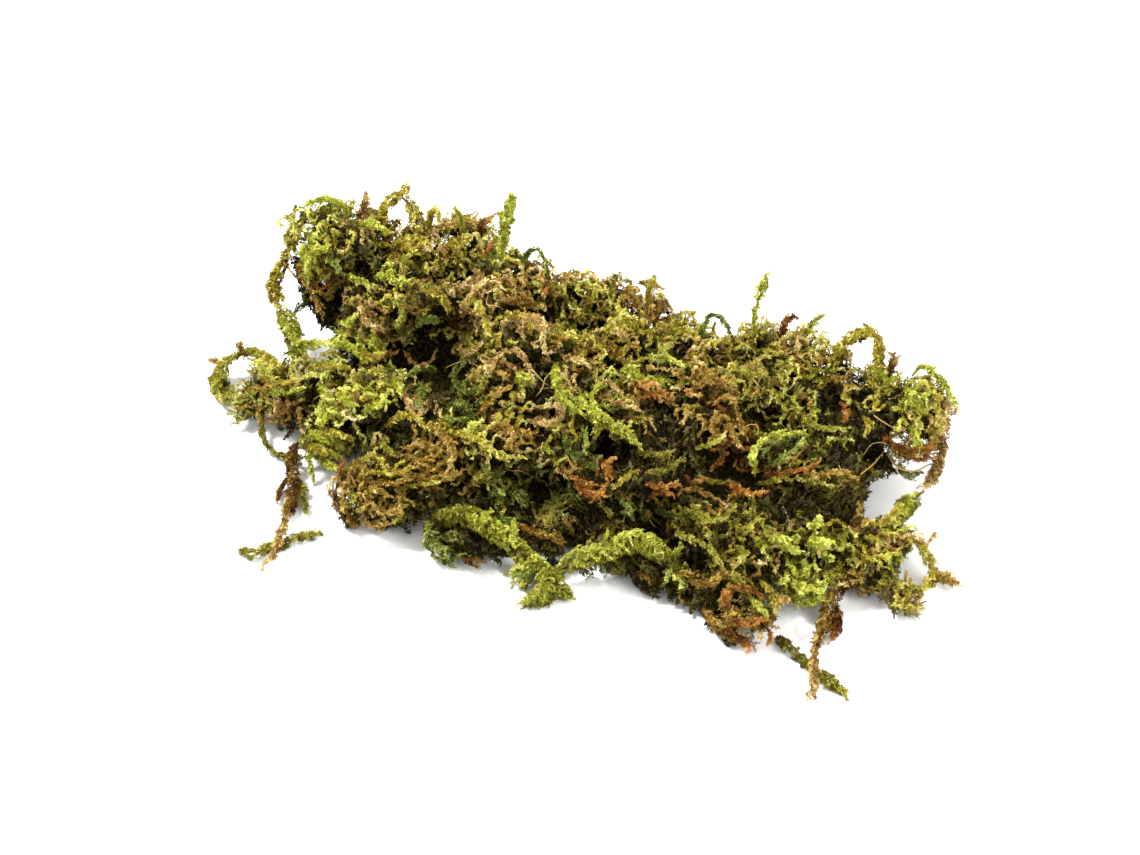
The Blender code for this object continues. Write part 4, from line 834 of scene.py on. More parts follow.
def tuft_fronds(skin):
    """The shoots of the tufts: side by side, all leaning the way their tuft flows, with a few strays."""
    rows = []
    for spot, flow, size, tuft_kind, tuft_style, tuft_lift in lay_tufts(skin):
        _, out = skin.at(spot)
        flow = across_to(flow[None], out[None])[0]
        side = np.cross(out, flow)
        top = min(tuft_lift, HIGHEST_LIFT) - 0.9
        hidden = out @ VIEW_IN > 0.1
        freshness = rng.normal(0, 0.1)
        many, shortest, longest = STYLES[tuft_style][:3]
        for _ in range(round(many * HIDDEN_SHOOTS) if hidden else many):
            style_name, kind = tuft_style, tuft_kind
            if rng.random() < 0.2:
                style_name = "rope"
            if rng.random() < STRAY_SHARE:
                kind = (OLD_STRAYS if kind == "old" else FRESH_STRAYS)[rng.integers(0, 4)]
            if rng.random() < 0.04:
                style_name, kind = "wire", ("tan", "tan", "brown")[rng.integers(0, 3)]
            fan = rng.uniform(-1, 1)
            way = turned(flow, out, fan * 0.45 + rng.normal(0, 0.16))
            length = rng.uniform(shortest, longest) * size / 8
            start = spot + (side * fan * 0.42 - flow * rng.uniform(0.35, 0.8)) * size
            seen_and_leafy = out @ VIEW_IN < 0 and style_name != "wire"
            if seen_and_leafy and in_hollow(start + way * length * 0.6, 0.75) and rng.random() < 0.8:
                style_name = kind = "old"
            row = new_frond(style_name, kind, start - out * rng.uniform(3.0, 5.0), way, length)
            row["depth"] = rng.uniform(3.5, 5.5)
            row["top"] = top + rng.uniform(-1.6, 1.2)
            row["droop"] = rng.uniform(0.4, 3.0)
            # a tuft's lift paints its shoots lighter, or darker where it is lower: painted light and shade; a
            # lift past the highest also makes its leaves fresher
            row["dim"] *= 1.0 + (0.10 if tuft_lift < 0 else 0.15) * tuft_lift
            row["age"] += freshness
            row["age"] += 0.08 * max(0.0, tuft_lift - HIGHEST_LIFT)
            if hidden:
                row["pitch"] *= HIDDEN_PITCH
                row["leaf"] *= HIDDEN_LEAF
            row["stem"] = rng.uniform(0.08, 0.14) if style_name == "wire" else 0.32
            rows.append(row)
    return rows


def old_fronds(skin):
    """Dark old shoots that fill the mat under its fresh skin, seen where it stands open."""
    rows = []
    for spot in skin.scatter(OLD_SHOOTS)[0]:
        _, out = skin.at(spot)
        way = across_to(rng.normal(0, 1, (1, 3)), out[None])[0]
        row = new_frond("old", "old", spot - out * 5.5 - way * 5, way, rng.uniform(7, 13))
        row["depth"] = rng.uniform(4.5, 6.0)
        row["top"] = -rng.uniform(1.3, 4.0)
        row["droop"] = 1.0
        rows.append(row)
    return rows


def underside_spines(skin):
    """Shoots pressed flat between the mat and what it rests on."""
    faces = skin.points[skin.under]
    areas = np.linalg.norm(np.cross(faces[:, 1] - faces[:, 0], faces[:, 2] - faces[:, 0]), axis=1)
    rows, spines = [], []
    for face in rng.choice(len(areas), UNDERSIDE_SHOOTS, p=areas / areas.sum()):
        start = faces[face].T @ rng.dirichlet((1, 1, 1))
        turn = rng.uniform(-math.pi, math.pi)
        kind = ("old", "brown", "old", "olive")[rng.integers(0, 4)]
        row = new_frond("old", kind, start, (1.0, 0.0, 0.0), rng.uniform(8, 14))
        row["roll"] = 0.3
        row["bare"] = 0.05
        row["age"] = rng.uniform(0.05, 0.4)
        run = np.linspace(0, 1, SPINE_STEPS + 1)
        angle = turn + row["bend"] * run + 0.8 * np.sin(run * 5 + row["tint"])
        step = np.stack([np.cos(angle), np.sin(angle), 0 * angle], 1) * row["length"] / SPINE_STEPS
        spine = start + np.cumsum(step, 0) - step[0]
        spine[:, 2] = 0.75 + 0.35 * np.sin(run * 7 + row["tint"])
        if skin.at(spine)[0].max() < 0.4:
            rows.append(row)
            spines.append(spine)
    return rows, spines


def sunk(where, out):
    """How far the mat sinks near its open places, in mm."""
    across, up = seen_at(where).T
    near = np.zeros(len(where))
    for x, y, radius in HOLLOWS:
        near = np.maximum(near, np.exp(-((across - x) ** 2 + (up - y) ** 2) / (0.85 * radius) ** 2))
    return HOLLOW_DEPTH * near * np.clip(-2 * (out @ VIEW_IN), 0, 1)


def grow_spines(fronds, skin):
    """Stems that rise out of the mat, run along its skin and droop or hook at the tip."""
    count = len(fronds)
    step = (fronds["length"] / SPINE_STEPS)[:, None]
    where = fronds["start"].copy()
    where[:, 2] = np.maximum(where[:, 2], LOWEST_STEM)
    way = unit(fronds["way"])
    _, out = skin.at(where)
    heading = unit(way + 0.8 * out)
    points, ups = [where.copy()], [out.copy()]
    for number in range(SPINE_STEPS):
        t = (number + 1) / SPINE_STEPS
        height, out = skin.at(where)
        rise = min(1.0, t / 0.45)  # it has come out of the mat at 45 % of its length
        rise = rise * rise * (3 - 2 * rise)
        fall = max(0.0, (t - 0.6) / 0.4) ** 2  # and droops from 60 % on
        on_skin = fronds["top"] - sunk(where, out)
        want = -fronds["depth"] * (1 - rise) + on_skin * rise - fronds["droop"] * fall
        turn = fronds["bend"] / SPINE_STEPS + rng.normal(0, 1, count) * fronds["wobble"]
        turn = turn + fronds["hook"] / SPINE_STEPS * (3.0 if t > 0.66 else 0.0)  # only the tip hooks
        way = turned(way, out, turn)
        level = across_to(way, out)
        climb = np.clip((want - height)[:, None] / step, -1.4, 1.4)
        heading = unit(0.55 * heading + 0.6 * unit(level + climb * out))
        where = where + heading * step
        where[:, 2] = np.maximum(where[:, 2], LOWEST_STEM)
        points.append(where.copy())
        ups.append(out.copy())
    return np.stack(points, 1), np.stack(ups, 1)


def bare_stems(skin):
    """Thin leafless stems that arch from one spot of the mat to another."""
    rows, spines = [], []
    for x0, y0, x1, y1, arch, kind in BARE_STEMS:
        start, end = skin.spot(x0, y0), skin.spot(x1, y1)
        over = (np.array((0, 0, 0.6)) - VIEW_IN * 0.8) * arch
        drift = rng.normal(0, 0.8, (2, 3))
        first = start * 0.7 + end * 0.3 + over + drift[0]
        second = start * 0.3 + end * 0.7 + over * 0.9 + drift[1]
        path, _, length = path_through([start, first, second, end], [1] * 4)
        row = new_frond("wire", kind, start, end - start, length)
        row["stem"] = rng.uniform(0.10, 0.15)
        row["age"] = 0.4
        rows.append(row)
        spines.append(path)
    return rows, spines


def strand(kind, way_points, radii, shoot, bare=False, painted_lights=(1.0, 1.0, 1.0), ages=None):
    """A stem wound round with short shoots, which make it as thick and lumpy as it is. The last two arguments
    give the painted light (painted shade below 1) and the freshness at its start, middle and end."""
    path, widths, length = path_through(way_points, radii)
    thick = widths.max()
    main = new_frond("wire" if bare else "rope", kind, path[0], path[1] - path[0], length)
    main["bare"], main["shoot"], main["stem"] = 0.0, shoot, 0.3
    main["age"] = rng.uniform(0.45, 0.6)
    if ages:
        main["age"] = sum(ages) / 3
    else:
        ages = (main["age"],) * 3
    main["leaf"] = 0.5 if bare else min(0.8, 0.9 * thick)
    main["pitch"] = 1.2 if bare else 0.06
    main["dim"] *= painted_lights[1]
    rows, spines = [main], [path]
    along = np.linspace(0, 1, SPINE_STEPS + 1)
    forward = unit(np.gradient(path, axis=0))
    side = across_to(np.array((0.3, 0.2, 1.0)), forward)
    over = np.cross(forward, side)
    depth = np.maximum(widths - 0.45, 0.15)
    close = 1.0 if thick > 1.6 or shoot >= 0 else 0.75
    cover = 3.3 if shoot >= 0 else 4.2  # square mm of the strand for each short shoot
    count = 0 if bare else 2 + int(close * 2 * math.pi * depth.mean() * length / cover)
    for number in range(count):
        run = min(rng.uniform(3.0, 6.0) * (0.75 + 0.12 * thick), 0.7 * length)
        start = rng.uniform(-0.05, 1 - 0.6 * run / length)
        t = np.clip(start + along * run / length, 0, 1)
        past = np.maximum(start * length + along * run - length, 0)[:, None]
        centre, ahead, left, high = (np.stack([np.interp(t, along, values[:, axis]) for axis in range(3)], 1)
                                     for values in (path, forward, side, over))
        phase = rng.uniform(0, 2 * math.pi)
        turn = number * GOLDEN_TURN + rng.choice((-1, 1)) * rng.uniform(0.3, 1.3) * along
        turn = turn + 0.45 * np.sin(along * run * 2 * math.pi / rng.uniform(1.6, 3.4) + phase)
        reach = np.interp(t, along, depth) * np.interp(along, (0, 0.35, 1), (0.3, 0.9, 1.0))
        reach = reach + rng.uniform(-0.2, 1.0) * np.maximum(0, along - 0.5) ** 2 * 3
        outward = left * np.cos(turn)[:, None] + high * np.sin(turn)[:, None]
        spine = centre + ahead * past + outward * reach[:, None]
        row = new_frond("rope", kind, spine[0], ahead[0], run)
        row["bare"], row["shoot"], row["stem"] = 0.02, shoot, 0.0
        row["leaf"] = 1.0 if kind == "old" else 0.52 if thick > THICK_STRAND else 0.58
        row["pitch"] = 0.10 if kind == "old" else 0.066
        if shoot >= 0 and thick <= THICK_STRAND:
            row["leaf"], row["width"] = 0.68, 0.72
        if shoot >= 0:
            row["spread"] = math.radians(rng.uniform(40, 64))
        middle = t.mean()
        # short shoots on the side facing the painted light's way are painted fresher, those on the far side
        # darker: painted light and shade
        lit = outward.mean(0) @ PAINTED_LIGHT_FROM
        row["age"] = (np.interp(middle, (0, 0.5, 1), ages) - 0.1
                      + 0.14 * math.sin(middle * length * 1.3 + main["tint"])
                      + rng.normal(0, 0.08) + 0.09 * thick * lit)
        row["dim"] *= np.interp(middle, (0, 0.5, 1), painted_lights) * (1 + 0.12 * min(0, lit) * thick)
        rows.append(row)
        spines.append(spine)
    return rows, spines


def all_strands(skin):
    """The strands on the mat, whose ends dive into it, those at its edge and the loose shoots."""
    made = []
    for kind, thick, lift, light, way_points in STRANDS:
        depths = [skin.seen_depth(*point) for point in way_points]
        known = [number for number, depth in enumerate(depths) if depth is not None]
        places = []
        for number, (across, up) in enumerate(way_points):
            depth = depths[min(known, key=lambda other: abs(other - number))]
            part = number / (len(way_points) - 1)
            over = np.interp(part, (0, 0.25, 0.75, 1), (-1.2, lift, lift, 0.3 * lift))
            places.append(VIEW_RIGHT * across + VIEW_UP * up + VIEW_IN * (depth - over))
        radii = thick * np.interp(np.linspace(0, 1, len(places)), (0, 0.3, 0.7, 1), (0.7, 1, 1, 0.55))
        made.append(strand(kind, places, radii, ON_MAT, painted_lights=(light,) * 3))
    for kind, thick, light, way_points in HANGING:
        places = [place(*point) for point in way_points]
        # painted shade: hanging shoots are drawn darker towards their start at the mat
        painted_lights = (0.85 * light, 0.95 * light, light)
        made.append(strand(kind, places, [thick] * len(places), ON_MAT, painted_lights=painted_lights))
    for number, (name, kind, way_points, radii) in enumerate(SHOOTS):
        places = [place(*point) for point in way_points]
        made.append(strand(kind, places, radii, number, name in BARE_NODES, *PAINTED_LIGHT_AND_FRESHNESS.get(name, ())))
    return sum((rows for rows, _ in made), []), sum((spines for _, spines in made), [])


def path_through(points, radii):
    """A smooth path through points (n, 3) as SPINE_STEPS + 1 evenly spaced places, the radius at each and the
    path's length."""
    points = np.array(points)
    ends = np.vstack([2 * points[0] - points[1], points, 2 * points[-1] - points[-2]])
    fine, widths = [], []
    for i in range(len(points) - 1):
        before, start, end, after = ends[i:i + 4]
        for t in np.arange(0, 1, 0.1):
            fine.append(0.5 * (2 * start + (end - before) * t
                               + (2 * before - 5 * start + 4 * end - after) * t * t
                               + (3 * start - before - 3 * end + after) * t ** 3))
            widths.append(radii[i] + (radii[i + 1] - radii[i]) * t)
    fine.append(points[-1])
    widths.append(radii[-1])
    fine = np.array(fine)
    run = np.concatenate([[0], np.cumsum(np.linalg.norm(np.diff(fine, axis=0), axis=1))])
    even = np.linspace(0, run[-1], SPINE_STEPS + 1)
    path = np.stack([np.interp(even, run, fine[:, axis]) for axis in range(3)], 1)
    return path, np.interp(even, run, widths), run[-1]


def frames(points, ups):
    """Unit ways forward, sides and ups along stems (n, steps + 1, 3)."""
    forward = unit(np.gradient(points, axis=1))
    side = unit(np.cross(forward, ups))
    return forward, side, np.cross(side, forward)


def at_step(values, owner, t):
    """Values (n, steps + 1, 3) of the owners at fractions t of their stems."""
    place_on = np.clip(t, 0, 0.9999) * (values.shape[1] - 1)
    low = place_on.astype(int)
    part = (place_on - low)[:, None]
    return values[owner, low] * (1 - part) + values[owner, low + 1] * part


def dress(fronds, points, ups, reaches):
    """The side branchlets of the stems, as long as the reaches (n, steps + 1) say, and the stems' own leafy
    lengths."""
    forward, side, up = frames(points, ups)
    run = np.linspace(0, 1, points.shape[1]) * fronds["length"][:, None]
    wave = (run * 2 * math.pi / SWAY_GAP + fronds["tint"][:, None])[..., None]
    size = np.where((fronds["pitch"] < 1) & (fronds["length"] > 5), 0.26, 0)[:, None, None]
    points = points + size * (side * np.sin(wave) + up * np.cos(wave))
    leafy = (1 - fronds["bare"]) * 0.98
    counts = np.where(fronds["branch"] > 0,
                      np.maximum(1, (fronds["length"] * leafy / fronds["gap"]).astype(int)), 0)
    owner = np.repeat(np.arange(len(fronds)), counts)
    place_in = np.arange(len(owner)) - np.repeat(np.cumsum(counts) - counts, counts)
    kept = fronds[owner]
    t = kept["bare"] + leafy[owner] * (place_in + 0.5 + rng.uniform(-0.3, 0.3, len(owner))) / counts[owner]
    hand = np.where(place_in % 2, 1.0, -1.0)
    wound = kept["roll"] > WOUND_ROLL
    roll = np.where(wound, place_in * GOLDEN_TURN, 0) + rng.normal(0, 0.3, len(owner))
    roll = roll + np.where(wound, 0, rng.uniform(-1, 1, len(owner)) * kept["roll"])
    ahead, left, over = (unit(at_step(values, owner, t)) for values in (forward, side, up))
    outward = left * (np.cos(roll) * hand)[:, None] + over * np.sin(roll)[:, None]
    angle = kept["angle"] * rng.uniform(0.75, 1.2, len(owner))
    branch = np.zeros(len(owner), AXIS)
    branch["start"] = at_step(points, owner, t)
    branch["way"] = unit(ahead * np.cos(angle)[:, None] + outward * np.sin(angle)[:, None] + over * 0.12)
    branch["length"] = at_step(reaches[..., None], owner, t)[:, 0] * rng.uniform(0.7, 1.2, len(owner))
    curl = kept["curl"][:, None]
    branch["bend"] = (ahead * rng.uniform(0.2, 1.4, (len(owner), 1)) * curl
                      + over * rng.normal(-0.2, 0.7, (len(owner), 1)) * curl)
    branch["side"] = across_to(over + 0.01, branch["way"])
    for name in ("width", "spread"):
        branch[name] = kept[name]
    branch["leaf"] = kept["leaf"] * 0.8
    branch["pitch"] = kept["pitch"] * 1.25
    branch["shrink"] = 0.4
    branch["age"] = aged(kept, t) + rng.normal(0, 0.03, len(owner))
    branch["owner"] = owner
    branch = branch[branch["start"][:, 2] + branch["length"] * branch["way"][:, 2] > 0.4]

    segments = points.shape[1] - 1
    owner = np.repeat(np.arange(len(fronds)), segments)
    number = np.tile(np.arange(segments), len(fronds))
    stem = np.zeros(len(owner), AXIS)
    stem["start"] = points[:, :-1].reshape(-1, 3)
    run = (points[:, 1:] - points[:, :-1]).reshape(-1, 3)
    stem["way"] = unit(run)
    stem["length"] = np.linalg.norm(run, axis=1)
    stem["side"] = across_to(up[:, :-1].reshape(-1, 3), stem["way"])
    kept = fronds[owner]
    stem["width"], stem["pitch"] = kept["width"], kept["pitch"]
    t = number / segments
    beads = 1 + 0.2 * np.sin(t * kept["length"] * 2 * math.pi / BEAD_GAP + kept["tint"])
    stem["leaf"] = kept["leaf"] * beads * np.interp(t, (0, 0.3, 0.75, 1), (0.8, 1.05, 1.0, 0.6))
    stem["spread"] = kept["spread"] * np.interp(t, (0, 0.85, 1), (1, 1, 0.5))
    stem["age"] = aged(kept, t)
    stem["run"] = t * kept["length"] + kept["tint"]
    stem["owner"] = owner
    return branch, stem[t > kept["bare"] * 0.7]


def aged(fronds, t):
    """How fresh the leaves are at fractions t of the stems: fresher towards the tip, and changing every few
    mm."""
    return fronds["age"] + 0.25 * (t - 0.5) + 0.13 * np.sin(t * fronds["length"] * 1.2 + fronds["tint"])


# ---------------------------------------------------------------- leaves and stems as triangles

def make_leaves(axes):
    """Pointed leaves wound round the axes, longer where a stem swells into a small curl. Returns their
    corners (n, 3, 3) as root, side and tip, the axis that each sits on, how far along it and the swelling
    there."""
    counts = np.floor(axes["length"] / axes["pitch"] + rng.random(len(axes))).astype(int)
    owner = np.repeat(np.arange(len(axes)), counts)
    number = np.arange(len(owner)) - np.repeat(np.cumsum(counts) - counts, counts)
    kept = axes[owner]
    s = ((number + rng.random(len(owner))) / counts[owner])[:, None]
    root = kept["start"] + kept["length"][:, None] * (kept["way"] * s + 0.5 * kept["bend"] * s * s)
    ahead = unit(kept["way"] + kept["bend"] * s)
    first_side = across_to(kept["side"], ahead)
    turn = number * GOLDEN_TURN + owner * 1.7 + rng.normal(0, 0.3, len(owner))
    radial = turned(first_side, ahead, turn)
    spread = kept["spread"] * rng.uniform(0.6, 1.3, len(owner)) * (1 - 0.35 * s[:, 0])
    way = ahead * np.cos(spread)[:, None] + radial * np.sin(spread)[:, None]
    across = turned(np.cross(ahead, radial), way, rng.normal(0, 0.35, len(owner)))
    across *= rng.choice((-1.0, 1.0), len(owner))[:, None]
    run = kept["run"] + s[:, 0] * kept["length"]
    swelling = np.where(kept["shrink"] > 0, 0, np.sin(run * 2 * math.pi / CURL_GAP))
    size = (kept["leaf"] * (1 - kept["shrink"] * s[:, 0]) * (1 + 0.14 * swelling)
            * rng.uniform(0.75, 1.25, len(owner)))[:, None]
    wide = across * size * kept["width"][:, None]
    root = root + radial * 0.06
    corners = np.stack([root - wide * 0.3, root + way * size * 0.5 + wide * 0.55, root + way * size], 1)
    return corners, owner, s[:, 0], swelling


def make_tubes(points, radii, sides=3):
    """Tapered tubes along stems (n, rings, 3) that end in a point. Returns the triangles' corners (m, 3, 3)
    and the stem that each belongs to."""
    forward = unit(np.gradient(points, axis=1))
    hint = np.where(np.abs(forward[..., 2:]) < 0.9, (0.0, 0.0, 1.0), (1.0, 0.0, 0.0))
    side = unit(np.cross(forward, hint))
    over = np.cross(side, forward)
    count, rings = points.shape[:2]
    angles = np.arange(sides) * 2 * math.pi / sides
    rim = side[:, :, None] * np.cos(angles)[:, None] + over[:, :, None] * np.sin(angles)[:, None]
    rim = points[:, :, None] + rim * radii[..., None, None]
    triangles = []
    for ring in range(rings - 1):
        for side_number in range(sides):
            after = (side_number + 1) % sides
            a, b = rim[:, ring, side_number], rim[:, ring, after]
            c, d = rim[:, ring + 1, after], rim[:, ring + 1, side_number]
            faces = [np.stack([a, b, c], 1), np.stack([a, c, d], 1)]
            if ring == rings - 2:
                faces = [np.stack([a, b, points[:, -1]], 1)]
            triangles += faces
    return np.concatenate(triangles), np.tile(np.arange(count), len(triangles))


def make_ribbons(points, radii):
    """The stems inside the leaves, as narrow strips along stems (n, rings, 3) that end in a point. Returns
    the same as make_tubes."""
    forward = unit(np.gradient(points, axis=1))
    side = unit(np.cross(forward, (0.36, 0.48, 0.8))) * radii[..., None]
    left, right = points - side, points + side
    count, rings = points.shape[:2]
    triangles = []
    for ring in range(rings - 2):
        triangles += [np.stack([left[:, ring], right[:, ring], right[:, ring + 1]], 1),
                      np.stack([left[:, ring], right[:, ring + 1], left[:, ring + 1]], 1)]
    triangles.append(np.stack([left[:, -2], right[:, -2], points[:, -1]], 1))
    return np.concatenate(triangles), np.tile(np.arange(count), len(triangles))


class Patches:
    """Smooth random values, alike over PATCH_SIZE: bits of older moss between fresh ones."""

    def __init__(self, where):
        self.low = where.min(0) - 1
        self.values = rng.normal(0, 1, np.ceil((where.max(0) + 1 - self.low) / PATCH_SIZE).astype(int) + 2)

    def at(self, where):
        cell = (where - self.low) / PATCH_SIZE
        base = cell.astype(int)
        part = cell - base
        part = part * part * (3 - 2 * part)
        total = 0
        for corner in np.ndindex(2, 2, 2):
            index = base + np.array(corner)
            total = total + np.prod(np.where(corner, part, 1 - part), -1) * self.values[tuple(index.T)]
        return total


class Air:
    """How thick the leaves stand, on a grid, and how much open sky each place has through them."""

    SOLID = 3.0  # density of the matted inside and of what lies under the clump
    RAYS = 22  # directions in which the sky is looked for
    REACHES = (1.2, 2.4, 3.8, 5.4, 7.2, 9.4, 12.0, 15.0)  # mm along each at which the density is read

    def __init__(self, where, areas, skin):
        self.low = where.min(0) - 3
        self.low[2] = -3
        shape = np.ceil((where.max(0) + 3 - self.low) / AIR_CELL).astype(int) + 1
        cell = np.maximum(((where - self.low) / AIR_CELL).astype(int), 0)
        flat = np.ravel_multi_index(cell.T, shape)
        density = np.bincount(flat, areas, minlength=int(np.prod(shape))).reshape(shape) / AIR_CELL ** 3
        for axis in range(3):
            density = 0.5 * density + 0.25 * (np.roll(density, 1, axis) + np.roll(density, -1, axis))
        grid = np.stack(np.meshgrid(*(self.low[i] + np.arange(shape[i]) * AIR_CELL for i in range(3)),
                                    indexing="ij"), -1)
        height, _ = skin.at(grid)
        density[height < -THATCH_DEPTH - 0.5] += self.SOLID
        density[grid[..., 2] < -0.5] += self.SOLID
        self.density = density

    def open_sky(self, where):
        """The share of the sky that places (n, 3) see, more weight on what is overhead."""
        total, weight_sum = 0, 0
        for number in range(self.RAYS):
            z = 1 - 1.15 * (number + 0.5) / self.RAYS
            flat = math.sqrt(max(0, 1 - z * z))
            way = np.array((flat * math.cos(number * GOLDEN_TURN), flat * math.sin(number * GOLDEN_TURN), z))
            thickness = 0
            for reach in self.REACHES:
                cell = ((where + way * reach - self.low) / AIR_CELL).astype(int)
                good = ((cell >= 0) & (cell < self.density.shape)).all(1)
                cell = np.where(good[:, None], cell, 0)
                found = self.density[cell[:, 0], cell[:, 1], cell[:, 2]] * good
                thickness = thickness + found * reach * 0.24
            weight = 0.35 + z
            total = total + weight * np.exp(-0.55 * thickness)
            weight_sum += weight
        return total / weight_sum


# ---------------------------------------------------------------- meshes

def add_piece(name, corners, shades, material, nodes):
    """A piece from triangles (n, 3, 3) in mm with its palette places (n, 3, 2)."""
    count = len(corners)
    corners = corners.copy()
    corners[..., 2] = np.maximum(corners[..., 2], FLOOR_CLEARANCE)
    mesh = bpy.data.meshes.new(name)
    mesh.vertices.add(3 * count)
    mesh.vertices.foreach_set("co", (corners * MM).astype(np.float32).ravel())
    mesh.loops.add(3 * count)
    mesh.loops.foreach_set("vertex_index", np.arange(3 * count, dtype=np.int32))
    mesh.polygons.add(count)
    mesh.polygons.foreach_set("loop_start", np.arange(0, 3 * count, 3, dtype=np.int32))
    palette = mesh.uv_layers.new(name="OFBake")
    palette.uv.foreach_set("vector", np.clip(shades, 0.002, 0.998).astype(np.float32).ravel())
    mesh.update(calc_edges=True)
    mesh.materials.append(material)
    piece = bpy.data.objects.new(name, mesh)
    bpy.context.scene.collection.objects.link(piece)
    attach(piece, "root")
    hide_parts(*nodes)


# ---------------------------------------------------------------- materials

def colour(code):
    """An sRGB hex colour as linear RGBA."""
    parts = [int(code[i:i + 2], 16) / 255 for i in (1, 3, 5)]
    return (*(c / 12.92 if c <= 0.04045 else ((c + 0.055) / 1.055) ** 2.4 for c in parts), 1.0)


def add_node(tree, kind, settings=(), links=()):
    """Adds a node, sets its properties or input values, and feeds its inputs from other nodes' outputs."""
    made = tree.nodes.new(kind)
    for name, value in settings:
        if isinstance(name, str) and hasattr(made, name):
            setattr(made, name, value)
        else:
            made.inputs[name].default_value = value
    for name, output in links:
        tree.links.new(output, made.inputs[name])
    return made


def set_ramp(ramp, stops):
    """Gives a colour ramp its stops (place, sRGB hex colour)."""
    points = ramp.color_ramp.elements
    while len(points) > 1:
        points.remove(points[-1])
    for number, (place_on, code) in enumerate(stops):
        point = points[0] if number == 0 else points.new(place_on)
        point.position = place_on
        point.color = colour(code)


# sRGB colours of each family's leaves, from old stem to fresh tip, with the name of the material
AGE_PLACES = (0.0, 0.3, 0.6, 1.0)
AGES = {
    "olive": ("olive_moss_leaf", ("#685a1e", "#8b882e", "#b0ac40", "#d8d480")),
    "gold": ("yellow_green_moss_leaf", ("#7c5e24", "#a4922e", "#c4b948", "#e8e388")),
    "lime": ("fresh_moss_leaf", ("#7a7024", "#9fa634", "#c3c84e", "#e9ee88")),
    "green": ("shade_grown_moss_leaf", ("#454a1a", "#646e2a", "#86933e", "#b9c46a")),
    "brown": ("dead_brown_moss_leaf", ("#613d18", "#92702c", "#b69846", "#dcbf7a")),
    "rust": ("rust_moss_leaf", ("#5a2f12", "#895520", "#b47c34", "#dcac66")),
    "tan": ("bleached_moss_leaf", ("#784f28", "#ac8a50", "#d2b674", "#f0e0aa")),
    "old": ("old_moss_leaf", ("#3a220e", "#483a14", "#5c5a24", "#80863c")),
}
# Painted shade: what the shade leaves of a colour, from the shaded inside of the clump to its open top: light
# that has come through other leaves is warm
SHADE_STOPS = ((0.0, "#7e7050"), (0.18, "#928664"), (0.5, "#c6bda3"), (0.8, "#e6e3d5"), (1.0, "#ebe9dd"))


def moss_leaf(name, ages):
    """Dried moss leaves, one cell thick: matt, browner where they are old. The OFBake map isn't a place on
    the leaf: across it runs from old stem to fresh tip, and up it runs the painted shade, from the shaded
    inside of the clump to its open top."""
    material = bpy.data.materials.new(name)
    material.use_nodes = True
    tree = material.node_tree
    shader = tree.nodes["Principled BSDF"]
    where = add_node(tree, "ShaderNodeUVMap", (("uv_map", "OFBake"),))
    parts = add_node(tree, "ShaderNodeSeparateXYZ", links=(("Vector", where.outputs["UV"]),))
    age = add_node(tree, "ShaderNodeValToRGB", links=(("Fac", parts.outputs["X"]),))
    set_ramp(age, zip(AGE_PLACES, ages))
    shade = add_node(tree, "ShaderNodeValToRGB", links=(("Fac", parts.outputs["Y"]),))
    set_ramp(shade, SHADE_STOPS)
    mixed = add_node(tree, "ShaderNodeMix", (("data_type", "RGBA"), ("blend_type", "MULTIPLY"), (0, 1.0)),
                     ((6, age.outputs["Color"]), (7, shade.outputs["Color"])))
    tree.links.new(mixed.outputs[2], shader.inputs["Base Color"])
    shader.inputs["Roughness"].default_value = 0.55
    shader.inputs["Specular IOR Level"].default_value = 0.18
    return material


def thatch_material():
    """Matted old stems inside the clump, rough, dark brown and painted almost black for the shade deep in the
    clump: brown fibres about 0.7 mm wide, as a noise with 1,400 grains to the metre."""
    material = bpy.data.materials.new("matted_old_stems_and_painted_shade")
    material.use_nodes = True
    tree = material.node_tree
    shader = tree.nodes["Principled BSDF"]
    where = add_node(tree, "ShaderNodeNewGeometry")
    fibres = add_node(tree, "ShaderNodeTexNoise", (("Scale", 1400.0), ("Detail", 4.0)),
                      (("Vector", where.outputs["Position"]),))
    tone = add_node(tree, "ShaderNodeValToRGB", links=(("Fac", fibres.outputs["Fac"]),))
    set_ramp(tone, ((0.35, "#0f0c06"), (0.5, "#1e190c"), (0.62, "#332d16")))
    tree.links.new(tone.outputs["Color"], shader.inputs["Base Color"])
    shader.inputs["Roughness"].default_value = 0.9
    shader.inputs["Specular IOR Level"].default_value = 0.0
    return material


# ---------------------------------------------------------------- assembly

def shade_leaves(corners, axis, along, swelling, axes, light):
    """Palette places (n, 3, 2) of the leaves' corners, with painted shade. light is the painted shade at the
    axes' roots and tips; a leaf is also painted lighter on a stem's swellings and darker at its own root.
    """
    count = len(corners)
    age = axes["age"][axis] + 0.15 * (along - 0.5) + 0.03 * swelling + rng.normal(0, 0.025, count)
    age = age + 0.15 * Patches(corners[:, 0]).at(corners[:, 0])
    # painted shade from the open sky along the axis, lighter on the swellings
    shade = light[0][axis] * (1 - along) + light[1][axis] * along + 0.03 * swelling
    shade = shade + rng.normal(0, 0.025, count)
    places = np.empty((count, 3, 2))
    places[:, :, 0] = age[:, None] + np.array((-0.02, 0.0, 0.04))
    places[:, :, 1] = shade[:, None] + np.array((-0.05, 0.0, 0.05))
    return places


def tube_places(owner, fronds, light):
    """Palette places (n, 3, 2) of the stems' corners: old, and painted in shade, inside their leaves, but as
    fresh and as light as the shoot where it is bare."""
    places = np.empty((len(owner), 3, 2))
    bare = fronds["pitch"][owner] > 1
    places[:, :, 0] = np.where(bare, fronds["age"][owner], 0.1)[:, None] + np.array((0.0, 0.02, 0.01))
    places[:, :, 1] = (light * np.where(bare, 1, 0.6))[:, None] + np.array((-0.01, 0.0, 0.02))
    return places


